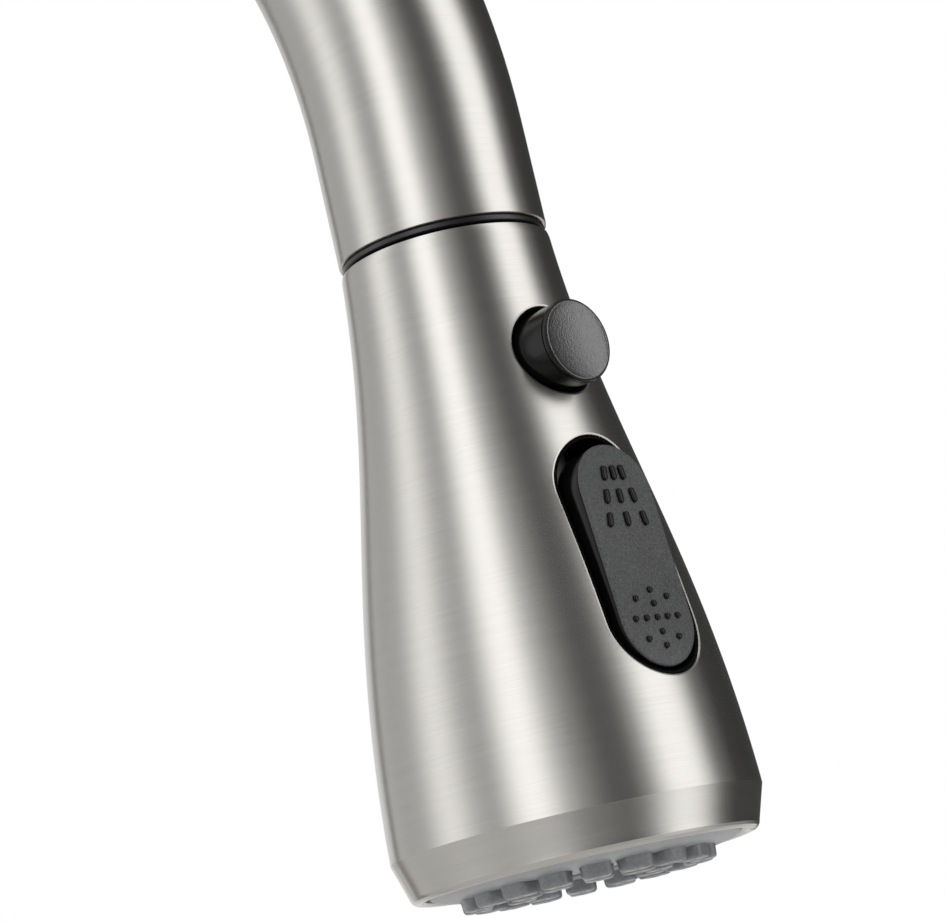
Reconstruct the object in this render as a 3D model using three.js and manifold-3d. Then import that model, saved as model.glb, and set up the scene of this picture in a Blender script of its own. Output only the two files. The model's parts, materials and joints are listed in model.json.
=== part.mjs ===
// Pull-down kitchen faucet: deck-mounted body with a side lever, a swivelling gooseneck spout,
// and a spray head on a hose that pulls out of the end of the neck.
//
// Millimetres, +Z up. The origin is where the body's axis meets the top of the deck. At rest the
// spout reaches towards -Y, the user, and the lever's valve points along +X.
//
// Two nested groups have frames of their own:
//   valve  local Z runs outwards along the valve, from the body's axis (world +X)
//   head   local Z runs down the spray head from the neck's lip, local +Y is its front

import * as THREE from "three";
import { mergeVertices } from "three/addons/utils/BufferGeometryUtils.js";
import Module from "manifold-3d";

const wasm = await Module();
wasm.setup();

// ---------------------------------------------------------------- driving dimensions

const GAP = 0.3; // clearance between neighbouring pieces

// deck and body
const DECK_THICKNESS = 30;
const BODY_HEIGHT = 150; // top of the body casting
const BODY_FOOT_R = 25;
const FLANGE_R = 27;
const FLANGE_TOP = 8;
const GASKET_THICKNESS = 1.5;
const SHANK_R = 16.5;
const SHANK_BORE_R = 14;
const SHANK_LENGTH = 62; // below the deck
const SHANK_ENGAGEMENT = 14; // thread inside the body
const INLET_R = 3.4;
const INLET_CIRCLE_R = 10.2;
const INLET_SPREAD = THREE.MathUtils.degToRad(55);
const WATERWAY_R = 2.4;

// spout
const NECK_R = 14;
const NECK_WALL = 1.2;
const SOCKET_GAP = 2.2; // between the neck and its socket, for bushes and seals
const SOCKET_WALL = 1.3; // of the casting round the socket's top
const BEND_R = 86;
const BEND_HEIGHT = 290; // centre of the bend above the deck
const HEAD_TILT = THREE.MathUtils.degToRad(18.84); // head axis from the vertical
const NECK_STRAIGHT = 15; // straight length between the bend and the neck's lip
const SOCKET_DEPTH = 42; // spout tube inside the body
const HOSE_R = 5;
const HOSE_BORE_R = 3.2;

// valve and lever
const VALVE_HEIGHT = 85; // valve axis above the deck
const BARREL_R = 17;
const BARREL_END = 38; // end of the side barrel from the body's axis
const CARTRIDGE_R = 12.4;
const CARTRIDGE_START = 16; // floor of the cartridge pocket from the body's axis
const LEVER_PIVOT = 34; // lift axis from the body's axis
const STEM_R = 3.1;
const STEM_TIP = 6.2; // pivot to the centre of the stem's ball end
const STEM_BALL_R = 1.7;
const HUB_R = 20.6;
const HUB_WALL = 2;
const LEVER_LENGTH = 79;
const LEVER_WIDTH = 15;

// spray head, all lengths measured down its axis from the neck's lip
const SEAM = 1.28; // width of the black joint between neck and head
const RIDGE = 77.7; // station of the widest point
const RIDGE_R = 24.17;
const HEAD_LENGTH = 83.2;
const RIM_R = 22.7;
const HEAD_WALL = 1.6;
const BUTTON_STATION = 18.96;
const BUTTON_R = 5.5;
const BUTTON_FACE = 20.1; // button's face from the head's axis
const BUTTON_HOLE_R = 6.43;
const BUTTON_TRAVEL = 3;
const ROCKER_STATION = 47.84;
const ROCKER_FACE = 21.42; // centre of the rocker's face from the head's axis
const ROCKER_TILT = 0.095; // its face leans outwards going down, in radians
const ROCKER_HALF_LENGTH = 14.74;
const ROCKER_HALF_WIDTH = 6.17;
const ROCKER_THICKNESS = 3.8;
const ROCKER_PIN_DEPTH = 5.9; // pin's axis behind the face
const SLOT_STATION = 47.45;
const SLOT_HALF_LENGTH = 16.38;
const SLOT_HALF_WIDTH = 7.83;
const SPOOL_R = 1.8;
const SPOOL_OFFSET = 10.6; // spool's axis from the head's axis
const FACE_R = 20.5;
const FACE_THICKNESS = 2.4;
const NOZZLE_R = 1.85;
const NOZZLE_REACH = 2.7; // beyond the face plate
const NOZZLE_RINGS = [{ count: 18, radius: 14.6 }, { count: 10, radius: 9 }];
const AERATOR_R = 5.2;

// ---------------------------------------------------------------- finishes

const finish = (color, roughness, metalness) => new THREE.MeshStandardMaterial({ color, roughness, metalness });
const NICKEL = finish("#a7a49e", 0.32, 1);
const STEEL = finish("#b4b4b4", 0.35, 1);
const BRASS = finish("#b08d4a", 0.4, 1);
const BLACK_PLASTIC = finish("#191a1b", 0.45, 0);
const GREY_PLASTIC = finish("#8c8e90", 0.5, 0);
const WHITE_PLASTIC = finish("#dcdcd8", 0.5, 0);
const RUBBER = finish("#1e1e1e", 0.85, 0);
const SILICONE = finish("#a9adb0", 0.4, 0);
const CERAMIC = finish("#e9e6df", 0.25, 0);

// ---------------------------------------------------------------- solids

// A closed geometry as a solid for the boolean cuts and joins.
function toSolid(geometry) {
  const bare = new THREE.BufferGeometry();
  bare.setAttribute("position", geometry.getAttribute("position"));
  bare.setIndex(geometry.index);
  const merged = mergeVertices(bare, 1e-4);
  const vertProperties = new Float32Array(merged.attributes.position.array);
  const triVerts = new Uint32Array(merged.index.array);
  return new wasm.Manifold(new wasm.Mesh({ numProp: 3, vertProperties, triVerts }));
}

function toGeometry(solid) {
  const { vertProperties, triVerts } = solid.getMesh();
  const geometry = new THREE.BufferGeometry();
  geometry.setAttribute("position", new THREE.BufferAttribute(vertProperties, 3));
  geometry.setIndex(new THREE.BufferAttribute(triVerts, 1));
  geometry.computeVertexNormals();
  return geometry;
}

function joined(first, ...others) {
  return toGeometry(others.reduce((sum, other) => sum.add(toSolid(other)), toSolid(first)));
}

function cut(first, ...tools) {
  return toGeometry(tools.reduce((rest, tool) => rest.subtract(toSolid(tool)), toSolid(first)));
}

// A closed outline of [radius, z] points turned about Z.
function turned(outline, sides = 24) {
  const points = outline.map(([r, z]) => new THREE.Vector2(r, z));
  const closed = THREE.ShapeUtils.isClockWise(points) ? points.reverse() : points;
  closed.push(closed[0].clone());
  return new THREE.LatheGeometry(closed, sides).rotateX(Math.PI / 2);
}

const rod = (r, z0, z1, sides = 24) => turned([[0, z0], [r, z0], [r, z1], [0, z1]], sides);

const ring = (inner, outer, z0, z1, sides = 24) =>
  turned([[inner, z0], [outer, z0], [outer, z1], [inner, z1]], sides);

function oRing(radius, thickness, z, sides = 24) {
  return new THREE.TorusGeometry(radius, thickness / 2, 6, sides).translate(0, 0, z);
}

const block = (width, depth, height) => new THREE.BoxGeometry(width, depth, height);

// A hexagonal prism about Z with a round bore.
const hexNut = (acrossFlats, bore, z0, z1) =>
  cut(rod(acrossFlats / Math.sqrt(3), z0, z1, 6), rod(bore, z0 - 1, z1 + 1, 24));

// A long plate with round ends: long along Y, thick along Z from 0 upwards.
function roundEndedPlate(halfLength, halfWidth, thickness, bevel = 0) {
  const straight = halfLength - halfWidth;
  const shape = new THREE.Shape();
  shape.absarc(0, straight, halfWidth - bevel, 0, Math.PI);
  shape.absarc(0, -straight, halfWidth - bevel, Math.PI, 2 * Math.PI);
  shape.closePath();
  const plate = new THREE.ExtrudeGeometry(shape, {
    depth: thickness - 2 * bevel,
    curveSegments: 6,
    bevelEnabled: bevel > 0,
    bevelThickness: bevel,
    bevelSize: bevel,
    bevelSegments: 1,
  });
  return plate.translate(0, 0, bevel);
}

// A path through given stations, each a point with the direction of travel there.
class StationPath extends THREE.Curve {
  constructor(stations) {
    super();
    this.stations = stations;
  }

  station(t) {
    return this.stations[Math.round(t * (this.stations.length - 1))];
  }

  getPoint(t) {
    return this.station(t).point.clone();
  }

  getPointAt(t) {
    return this.getPoint(t);
  }

  getTangentAt(t) {
    return this.station(t).direction.clone();
  }
}

// ---------------------------------------------------------------- the spout's centre line

const BEND_ANGLE = Math.PI - HEAD_TILT;
const BEND_STEPS = 18;

function bendStation(angle, extra = 0) {
  const direction = new THREE.Vector3(0, -Math.sin(angle), Math.cos(angle));
  const y = BEND_R * (Math.cos(angle) - 1);
  const z = BEND_HEIGHT + BEND_R * Math.sin(angle);
  return { point: new THREE.Vector3(0, y, z).addScaledVector(direction, extra), direction };
}

// Stations from a height on the body's axis, up and round the bend, and on past it by endLength.
function spoutStations(startZ, endLength) {
  const stations = [{ point: new THREE.Vector3(0, 0, startZ), direction: new THREE.Vector3(0, 0, 1) }];
  for (let i = 0; i <= BEND_STEPS; i++) {
    stations.push(bendStation((BEND_ANGLE * i) / BEND_STEPS));
  }
  if (endLength > 0) stations.push(bendStation(BEND_ANGLE, endLength));
  return stations;
}

function pipe(stations, outer, bore, sides) {
  const section = new THREE.Shape().absarc(0, 0, outer, 0, 2 * Math.PI);
  section.holes.push(new THREE.Path().absarc(0, 0, bore, 0, 2 * Math.PI));
  return new THREE.ExtrudeGeometry(section, {
    steps: stations.length - 1,
    curveSegments: sides / 2, // an arc takes two steps for each
    extrudePath: new StationPath(stations),
  });
}

const NECK_LIP = bendStation(BEND_ANGLE, NECK_STRAIGHT).point;

// ---------------------------------------------------------------- groups

const faucet = new THREE.Group();
const valve = new THREE.Group();
valve.position.set(0, 0, VALVE_HEIGHT);
valve.rotation.y = Math.PI / 2;
const head = new THREE.Group();
head.position.copy(NECK_LIP);
head.rotation.x = BEND_ANGLE;
faucet.add(valve, head);

function add(group, name, geometry, material) {
  const mesh = new THREE.Mesh(geometry, material);
  mesh.name = name;
  group.add(mesh);
}

// ---------------------------------------------------------------- deck mounting

const DECK_UNDERSIDE = -DECK_THICKNESS;
const BODY_BOTTOM = FLANGE_TOP + GAP;
const SHANK_HOLE_R = SHANK_R + GAP;

function flange() {
  const bottom = GASKET_THICKNESS + GAP;
  return turned([
    [SHANK_HOLE_R, bottom],
    [FLANGE_R, bottom],
    [FLANGE_R, FLANGE_TOP - 2],
    [FLANGE_R - 1.2, FLANGE_TOP],
    [SHANK_HOLE_R, FLANGE_TOP],
  ], 36);
}

function deckHardware() {
  const washerTop = DECK_UNDERSIDE - GAP;
  const plateTop = washerTop - 3 - GAP;
  const nutTop = plateTop - 2 - GAP;
  add(faucet, "base_gasket", ring(SHANK_HOLE_R, FLANGE_R - 1, 0, GASKET_THICKNESS, 32), RUBBER);
  add(faucet, "base_flange", flange(), NICKEL);
  add(faucet, "threaded_shank",
    ring(SHANK_BORE_R, SHANK_R, -SHANK_LENGTH, BODY_BOTTOM + SHANK_ENGAGEMENT - 1), BRASS);
  add(faucet, "rubber_washer", ring(SHANK_HOLE_R, FLANGE_R, washerTop - 3, washerTop), RUBBER);
  add(faucet, "clamp_plate", ring(SHANK_HOLE_R, FLANGE_R - 1, plateTop - 2, plateTop), STEEL);
  add(faucet, "mounting_nut", hexNut(2 * SHANK_R + 12, SHANK_HOLE_R, nutTop - 11, nutTop), BRASS);
}

// ---------------------------------------------------------------- body

const SOCKET_R = NECK_R + SOCKET_GAP;
const BODY_TOP_R = SOCKET_R + SOCKET_WALL;
const SOCKET_FLOOR = BODY_HEIGHT - SOCKET_DEPTH;
const HOSE_PASSAGE_R = HOSE_R + 1.2;
const POCKET_R = CARTRIDGE_R + 0.9;
const SEAT_OF_SHANK = BODY_BOTTOM + SHANK_ENGAGEMENT;
const INLET_TOP = SEAT_OF_SHANK + 9;
const MIXED_DROP = 8; // mixed-water port below the valve's axis

// The three waterways: a vertical drill from the body's underside, met by one from the pocket.
const WATERWAYS = [
  { name: "hot_inlet", angle: INLET_SPREAD, drop: 0 },
  { name: "cold_inlet", angle: -INLET_SPREAD, drop: 0 },
  { name: "mixed_outlet", angle: 0, drop: MIXED_DROP },
].map((way) => ({
  ...way,
  x: INLET_CIRCLE_R * Math.cos(way.angle),
  y: INLET_CIRCLE_R * Math.sin(way.angle),
}));

function waterwayDrills() {
  return WATERWAYS.flatMap(({ x, y, drop }) => {
    const top = VALVE_HEIGHT - drop + WATERWAY_R - 0.4;
    const crossLength = CARTRIDGE_START + 1 - x;
    const across = rod(WATERWAY_R, 0, crossLength, 12).rotateY(Math.PI / 2);
    return [
      rod(WATERWAY_R, SEAT_OF_SHANK - 1, top, 12).translate(x, y, 0),
      rod(INLET_R + GAP, SEAT_OF_SHANK - 1, INLET_TOP, 16).translate(x, y, 0),
      across.translate(x, y, VALVE_HEIGHT - drop),
    ];
  });
}

function bodyCasting() {
  const side = new THREE.CubicBezierCurve(
    new THREE.Vector2(BODY_FOOT_R, BODY_BOTTOM),
    new THREE.Vector2(BODY_FOOT_R - 4.5, BODY_HEIGHT * 0.3),
    new THREE.Vector2(BODY_TOP_R + 5, BODY_HEIGHT * 0.73),
    new THREE.Vector2(BODY_TOP_R, BODY_HEIGHT),
  );
  const outline = [[0, BODY_BOTTOM], ...side.getPoints(10).map(({ x, y }) => [x, y]), [0, BODY_HEIGHT]];
  const barrel = rod(BARREL_R, 0, BARREL_END, 32).rotateY(Math.PI / 2).translate(0, 0, VALVE_HEIGHT);
  const pocket = rod(POCKET_R, CARTRIDGE_START, BARREL_END + 1, 24).rotateY(Math.PI / 2);
  return cut(
    joined(turned(outline, 36), barrel),
    rod(HOSE_PASSAGE_R, BODY_BOTTOM - 1, BODY_HEIGHT + 1, 16),
    rod(SHANK_HOLE_R, BODY_BOTTOM - 1, SEAT_OF_SHANK, 32),
    rod(SOCKET_R, SOCKET_FLOOR, BODY_HEIGHT + 1, 32),
    pocket.translate(0, 0, VALVE_HEIGHT),
    ...waterwayDrills(),
  );
}

function inletFitting({ x, y }) {
  const top = INLET_TOP - GAP;
  return ring(WATERWAY_R - 0.4, INLET_R, top - 26, top, 16).translate(x, y, 0);
}

function bodyParts() {
  add(faucet, "body_casting", bodyCasting(), NICKEL);
  for (const way of WATERWAYS) add(faucet, way.name, inletFitting(way), BRASS);
}

// ---------------------------------------------------------------- spout

const SPOUT_BOTTOM = SOCKET_FLOOR + 1.5;
const BUSH_HEIGHT = 6;
const UPPER_BUSH = BODY_HEIGHT - BUSH_HEIGHT - 2;
const LOWER_BUSH = SPOUT_BOTTOM + 1;
const SEAL_THICKNESS = SOCKET_R - NECK_R - 2 * GAP;
const SEAL_RADIUS = (SOCKET_R + NECK_R) / 2;
const INSERT_R = NECK_R - NECK_WALL - GAP;
const SPIGOT_R = 9.2;
const HOSE_STUB_TOP = -NECK_STRAIGHT;

function spoutParts() {
  const bush = (z) => ring(NECK_R + GAP, SOCKET_R - GAP, z, z + BUSH_HEIGHT);
  const tube = pipe(spoutStations(SPOUT_BOTTOM, NECK_STRAIGHT), NECK_R, NECK_R - NECK_WALL, 24);
  const trim = turned([
    [NECK_R + GAP, BODY_HEIGHT + GAP],
    [BODY_TOP_R - 0.2, BODY_HEIGHT + GAP],
    [BODY_TOP_R - 0.8, BODY_HEIGHT + 2],
    [NECK_R + 1.2, BODY_HEIGHT + 4],
    [NECK_R + GAP, BODY_HEIGHT + 4],
  ], 32);
  add(faucet, "spout_tube", tube, NICKEL);
  add(faucet, "spout_trim_ring", trim, NICKEL);
  add(faucet, "swivel_bush_lower", bush(LOWER_BUSH), WHITE_PLASTIC);
  add(faucet, "swivel_bush_upper", bush(UPPER_BUSH), WHITE_PLASTIC);
  const between = (share) => LOWER_BUSH + BUSH_HEIGHT + share * (UPPER_BUSH - LOWER_BUSH - BUSH_HEIGHT);
  add(faucet, "spout_seal_lower", oRing(SEAL_RADIUS, SEAL_THICKNESS, between(0.25)), RUBBER);
  add(faucet, "spout_seal_upper", oRing(SEAL_RADIUS, SEAL_THICKNESS, between(0.75)), RUBBER);
  const clip = between(0.5);
  add(faucet, "spout_retaining_clip", ring(NECK_R + GAP, SOCKET_R - GAP, clip - 0.8, clip + 0.8), STEEL);
  add(head, "dock_insert", ring(SPIGOT_R + GAP, INSERT_R, -NECK_STRAIGHT + 0.5, -0.6), BLACK_PLASTIC);
}

function hoseParts() {
  const bottom = -SHANK_LENGTH + 2;
  const run = pipe(spoutStations(bottom, NECK_STRAIGHT + HOSE_STUB_TOP), HOSE_R, HOSE_BORE_R, 8);
  add(faucet, "hose_run", run, BLACK_PLASTIC);
  add(faucet, "hose_connector", hexNut(13, HOSE_BORE_R, bottom - GAP - 12, bottom - GAP), BRASS);
  add(head, "hose_end", ring(HOSE_BORE_R, HOSE_R, HOSE_STUB_TOP + GAP, 2.1, 10), BLACK_PLASTIC);
  add(head, "hose_nut", hexNut(13, HOSE_BORE_R, 2.4, 9.7), BRASS);
}

// ---------------------------------------------------------------- valve cartridge, local Z outwards

const PORT_SEAL = CARTRIDGE_START + GAP;
const BASE_START = PORT_SEAL + 1 + GAP;
const BASE_END = BASE_START + 2.7;
const DISC_R = CARTRIDGE_R - 1.8;
const FIXED_DISC_END = BASE_END + GAP + 2.4;
const MOVING_DISC_R = 7.8;
const MOVING_DISC_END = FIXED_DISC_END + GAP + 2.4;
const CARRIER_END = MOVING_DISC_END + GAP + 2.6;
const ROTOR_START = CARRIER_END + GAP;
const ROTOR_R = 7.3;
const ROTOR_FLANGE_END = ROTOR_START + 1.8;
const HOUSING_END = ROTOR_FLANGE_END + GAP + 2.7;
const PIN_R = 1.2;

// The ports lie where the body's waterways open into the pocket's floor. In the valve's frame
// local X points down, so a drop below the axis is +X.
const portHoles = (r) => WATERWAYS.map(({ y, drop }) => rod(r, 0, BARREL_END, 12).translate(drop, y, 0));

function cartridgeHousing() {
  const bore = CARTRIDGE_R - 1.4;
  return turned([
    [bore, BASE_END + GAP],
    [CARTRIDGE_R, BASE_END + GAP],
    [CARTRIDGE_R, HOUSING_END],
    [ROTOR_R + GAP, HOUSING_END],
    [ROTOR_R + GAP, HOUSING_END - 2.7],
    [bore, HOUSING_END - 2.7],
  ]);
}

function movingDisc() {
  const pocket = block(10, 13, 2.4).translate(1.5, 0, FIXED_DISC_END + GAP);
  return cut(rod(MOVING_DISC_R, FIXED_DISC_END + GAP, MOVING_DISC_END, 24), pocket);
}

function discCarrier() {
  const seatWidth = 2 * (STEM_BALL_R + GAP);
  const seat = block(seatWidth, seatWidth, 8).translate(0, 0, CARRIER_END);
  return cut(rod(MOVING_DISC_R, MOVING_DISC_END + GAP, CARRIER_END, 24), seat);
}

const pinHole = (r, length) => rod(r, -length, length, 12).rotateX(Math.PI / 2).translate(0, 0, LEVER_PIVOT);

function stemRotor() {
  const shape = turned([
    [0, ROTOR_START],
    [DISC_R, ROTOR_START],
    [DISC_R, ROTOR_FLANGE_END],
    [ROTOR_R, ROTOR_FLANGE_END],
    [ROTOR_R, BARREL_END - 2],
    [0, BARREL_END - 2],
  ]);
  const slot = block(11, 2 * (STEM_R + 0.4), 40).translate(0, 0, LEVER_PIVOT);
  return cut(shape, slot, pinHole(PIN_R + GAP, ROTOR_R + 1));
}

function leverStem() {
  const tip = LEVER_PIVOT - STEM_TIP;
  const ball = new THREE.SphereGeometry(STEM_BALL_R, 12, 8).translate(0, 0, tip);
  const waist = rod(1.3, tip, LEVER_PIVOT - 2, 12);
  return cut(joined(rod(STEM_R, LEVER_PIVOT - 3, STEM_END, 20), waist, ball), pinHole(PIN_R + GAP, STEM_R + 1));
}

function cartridgeParts() {
  const portSeal = cut(rod(CARTRIDGE_R, PORT_SEAL, PORT_SEAL + 1, 24), ...portHoles(WATERWAY_R));
  const base = cut(rod(CARTRIDGE_R, BASE_START, BASE_END, 24), ...portHoles(WATERWAY_R - 0.2));
  const fixed = cut(rod(DISC_R, BASE_END + GAP, FIXED_DISC_END, 24), ...portHoles(WATERWAY_R - 0.4));
  add(valve, "port_seal", portSeal, RUBBER);
  add(valve, "cartridge_base", base, WHITE_PLASTIC);
  add(valve, "cartridge_housing", cartridgeHousing(), WHITE_PLASTIC);
  add(valve, "fixed_disc", fixed, CERAMIC);
  add(valve, "moving_disc", movingDisc(), CERAMIC);
  add(valve, "disc_carrier", discCarrier(), WHITE_PLASTIC);
  add(valve, "stem_rotor", stemRotor(), GREY_PLASTIC);
  add(valve, "lever_pivot_pin", rod(PIN_R, -ROTOR_R + 0.2, ROTOR_R - 0.2, 12).rotateX(Math.PI / 2)
    .translate(0, 0, LEVER_PIVOT), STEEL);
  add(valve, "cartridge_nut", ring(ROTOR_R + 0.7, POCKET_R - GAP, HOUSING_END + GAP, BARREL_END - GAP), BRASS);
  add(valve, "bonnet_ring", ring(POCKET_R - 0.8, BARREL_R - 0.5, BARREL_END + GAP, BARREL_END + 2.3, 32), NICKEL);
}

// ---------------------------------------------------------------- lever

const HUB_BORE_R = HUB_R - HUB_WALL;
const HUB_RIM = BARREL_END + 0.6;
const BOSS_START = LEVER_PIVOT + 10;
const STEM_END = LEVER_PIVOT + 16;
const SCREW_R = 2;
const SCREW_LENGTH = 4.3;
const SCREW_STATION = LEVER_PIVOT + 13;
const STUD_R = 2.6;
const LEVER_ROOT = LEVER_PIVOT + 11.5; // where the lever's centre line leaves the hub

// A ball about the lift axis, with a rim cut square across it.
function ballCap(radius, rim) {
  const ball = new THREE.SphereGeometry(radius, 28, 14).rotateX(Math.PI / 2).translate(0, 0, LEVER_PIVOT);
  const behind = block(4 * radius, 4 * radius, 4 * radius).translate(0, 0, rim - 2 * radius);
  return cut(ball, behind);
}

function handleHub() {
  const shell = cut(ballCap(HUB_R, HUB_RIM), ballCap(HUB_BORE_R, HUB_RIM - 1));
  const boss = rod(5.5, BOSS_START, LEVER_PIVOT + HUB_BORE_R + 0.5, 24);
  const stemBore = rod(STEM_R + GAP, BOSS_START - 1, STEM_END + GAP, 20);
  const screwHole = rod(SCREW_R + GAP, 0, HUB_R + 2, 12).rotateY(Math.PI / 2).translate(0, 0, SCREW_STATION);
  const studHole = rod(STUD_R + GAP, HUB_BORE_R - 5, HUB_R + 2, 14).rotateY(-Math.PI / 2);
  return cut(joined(shell, boss), stemBore, screwHole, studHole.translate(0, 0, LEVER_ROOT));
}

// The blade's side view has local up as y and outwards as x; it is as wide as LEVER_WIDTH.
function leverBlade() {
  const foot = 14;
  const top = LEVER_LENGTH + foot;
  const blade = new THREE.Shape();
  blade.moveTo(LEVER_ROOT - 4.5, foot);
  blade.bezierCurveTo(LEVER_ROOT - 4, foot + 25, LEVER_ROOT + 4, top - 30, LEVER_ROOT + 10, top);
  blade.lineTo(LEVER_ROOT + 13, top);
  blade.bezierCurveTo(LEVER_ROOT + 9, top - 30, LEVER_ROOT + 5, foot + 25, LEVER_ROOT + 4.5, foot);
  blade.closePath();
  const bevel = 1.2;
  const plate = new THREE.ExtrudeGeometry(blade, {
    depth: LEVER_WIDTH - 2 * bevel,
    curveSegments: 10,
    bevelEnabled: true,
    bevelThickness: bevel,
    bevelSize: bevel,
    bevelOffset: -bevel,
    bevelSegments: 2,
  });
  // shape x (outwards) to local Z, shape y (up) to local -X, thickness to local Y
  plate.translate(0, 0, bevel - LEVER_WIDTH / 2).rotateX(Math.PI / 2).rotateY(-Math.PI / 2);
  const stud = rod(STUD_R, HUB_BORE_R - 3, HUB_R + 5, 14).rotateY(-Math.PI / 2).translate(0, 0, LEVER_ROOT);
  const ballClearance = new THREE.SphereGeometry(HUB_R + GAP, 28, 14).rotateX(Math.PI / 2);
  return joined(cut(plate, ballClearance.translate(0, 0, LEVER_PIVOT)), stud);
}

function leverParts() {
  add(valve, "lever_stem", leverStem(), STEEL);
  add(valve, "handle_hub", handleHub(), NICKEL);
  add(valve, "lever", leverBlade(), NICKEL);
  const screw = rod(SCREW_R, STEM_R + GAP, STEM_R + GAP + SCREW_LENGTH, 12).rotateY(Math.PI / 2);
  add(valve, "set_screw", screw.translate(0, 0, SCREW_STATION), STEEL);
  const shellDepth = Math.sqrt(HUB_R ** 2 - (SCREW_STATION - LEVER_PIVOT) ** 2);
  const plug = rod(SCREW_R, shellDepth - HUB_WALL - 0.6, shellDepth - 0.2, 12).rotateY(Math.PI / 2);
  add(valve, "index_plug", plug.translate(0, 0, SCREW_STATION), RUBBER);
}

// ---------------------------------------------------------------- spray head shell, local Z down

const headSide = new THREE.CubicBezierCurve(
  new THREE.Vector2(NECK_R, SEAM),
  new THREE.Vector2(NECK_R + 0.1455 * (RIDGE_R - NECK_R), SEAM + 0.3685 * (RIDGE - SEAM)),
  new THREE.Vector2(NECK_R + 0.8987 * (RIDGE_R - NECK_R), SEAM + 0.57 * (RIDGE - SEAM)),
  new THREE.Vector2(RIDGE_R, RIDGE),
);
const FACE_RECESS = 0.6;
const FACE_BOTTOM = HEAD_LENGTH - FACE_RECESS;
const FACE_TOP = FACE_BOTTOM - FACE_THICKNESS;
const COLLAR_SKIRT_R = 9.9;
const toFront = (geometry) => geometry.rotateX(-Math.PI / 2); // local Z to the head's front

const buttonHole = (r, depth = 0) => toFront(rod(r, depth, RIDGE_R + 4, 28)).translate(0, 0, BUTTON_STATION);

function slotCutter(clearance = 0, depth = 0) {
  const plate = roundEndedPlate(SLOT_HALF_LENGTH + clearance, SLOT_HALF_WIDTH + clearance, RIDGE_R + 4 - depth);
  return toFront(plate.translate(0, 0, depth)).translate(0, 0, SLOT_STATION);
}

function headShell() {
  const side = headSide.getPoints(12);
  const outer = side.map(({ x, y }) => [x, y]);
  const inner = side
    .filter(({ y }) => y > SEAM + 2 * HEAD_WALL && y < FACE_TOP - HEAD_WALL)
    .map(({ x, y }) => [x - HEAD_WALL, y])
    .reverse();
  const shell = turned([
    ...outer,
    [RIM_R, HEAD_LENGTH - 0.9],
    [RIM_R - 0.7, HEAD_LENGTH],
    [FACE_R + GAP, HEAD_LENGTH],
    [FACE_R + GAP, FACE_TOP - 2],
    ...inner,
    [NECK_R - HEAD_WALL, SEAM + HEAD_WALL],
    [COLLAR_SKIRT_R + GAP, SEAM + HEAD_WALL],
    [COLLAR_SKIRT_R + GAP, SEAM],
  ], 36);
  return cut(shell, buttonHole(BUTTON_HOLE_R), slotCutter());
}

function dockCollar() {
  const hoseBore = HOSE_R + 0.6;
  const nutBore = 8.4;
  return turned([
    [hoseBore, -10],
    [SPIGOT_R - 0.8, -10],
    [SPIGOT_R, -8],
    [SPIGOT_R, GAP],
    [NECK_R - 0.45, GAP],
    [NECK_R - 0.45, SEAM - GAP],
    [COLLAR_SKIRT_R, SEAM - GAP],
    [COLLAR_SKIRT_R, 8],
    [nutBore, 8],
    [nutBore, 2],
    [hoseBore, 2],
  ], 28);
}

// ---------------------------------------------------------------- spray head waterway

const CORE_TOP = 10;
const CORE_INLET_R = 6.4;
const CORE_BORE_R = 4.6;
const CORE_CHAMBER_R = 9.3;
const PAD_R = FACE_R - 2.9;
const PAD_THICKNESS = 1.9;
const PAD_TOP = FACE_TOP - GAP - PAD_THICKNESS;
const CORE_END = PAD_TOP - GAP;
const BUTTON_SEAT = 9.6; // outer end of the button's boss on the core
const ROCKER_PIN = ROCKER_FACE - ROCKER_PIN_DEPTH * Math.cos(ROCKER_TILT);
const ROCKER_PIN_STATION = ROCKER_STATION + ROCKER_PIN_DEPTH * Math.sin(ROCKER_TILT);
const TAB_END = SPOOL_OFFSET + 0.7; // the rocker's tab reaches this close to the head's axis
const TAB_STATION = ROCKER_STATION + (ROCKER_FACE - TAB_END) * Math.tan(ROCKER_TILT);
const SPOOL_START = 37;
const SPOOL_END = 59;

function headCore() {
  const waterway = turned([
    [CORE_BORE_R, CORE_TOP],
    [CORE_INLET_R, CORE_TOP],
    [CORE_INLET_R, 24],
    [CORE_CHAMBER_R, 27],
    [CORE_CHAMBER_R, 61.5],
    [PAD_R - 0.3, 68],
    [PAD_R - 0.3, CORE_END],
    [PAD_R - 1.8, CORE_END],
    [PAD_R - 1.8, 69.6],
    [AERATOR_R + 2, 68],
    [AERATOR_R + 2, 74],
    [AERATOR_R + GAP, 74],
    [AERATOR_R + GAP, 68],
    [3.4, 64],
    [3.4, 22],
    [CORE_BORE_R, 20],
  ], 24);
  const buttonBoss = toFront(rod(4.6, 5.4, BUTTON_SEAT, 20)).translate(0, 0, BUTTON_STATION);
  const valveBlock = block(9, 6.4, SPOOL_END - SPOOL_START - 2)
    .translate(0, SPOOL_OFFSET - 0.5, (SPOOL_START + SPOOL_END) / 2);
  return cut(
    joined(waterway, buttonBoss, valveBlock),
    toFront(rod(1.8, 0, BUTTON_SEAT + 1, 12)).translate(0, 0, BUTTON_STATION),
    rod(SPOOL_R + GAP, SPOOL_START - 3, SPOOL_END + 1, 16).translate(0, SPOOL_OFFSET, 0),
    block(4, 8, 4.4).translate(0, SPOOL_OFFSET + 4, TAB_STATION),
  );
}

function diverterSpool() {
  const groove = block(6, 6, 2.8).translate(0, SPOOL_OFFSET + 3.1, TAB_STATION);
  return cut(rod(SPOOL_R, SPOOL_START, SPOOL_END, 14).translate(0, SPOOL_OFFSET, 0), groove);
}

// ---------------------------------------------------------------- controls on the head

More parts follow.
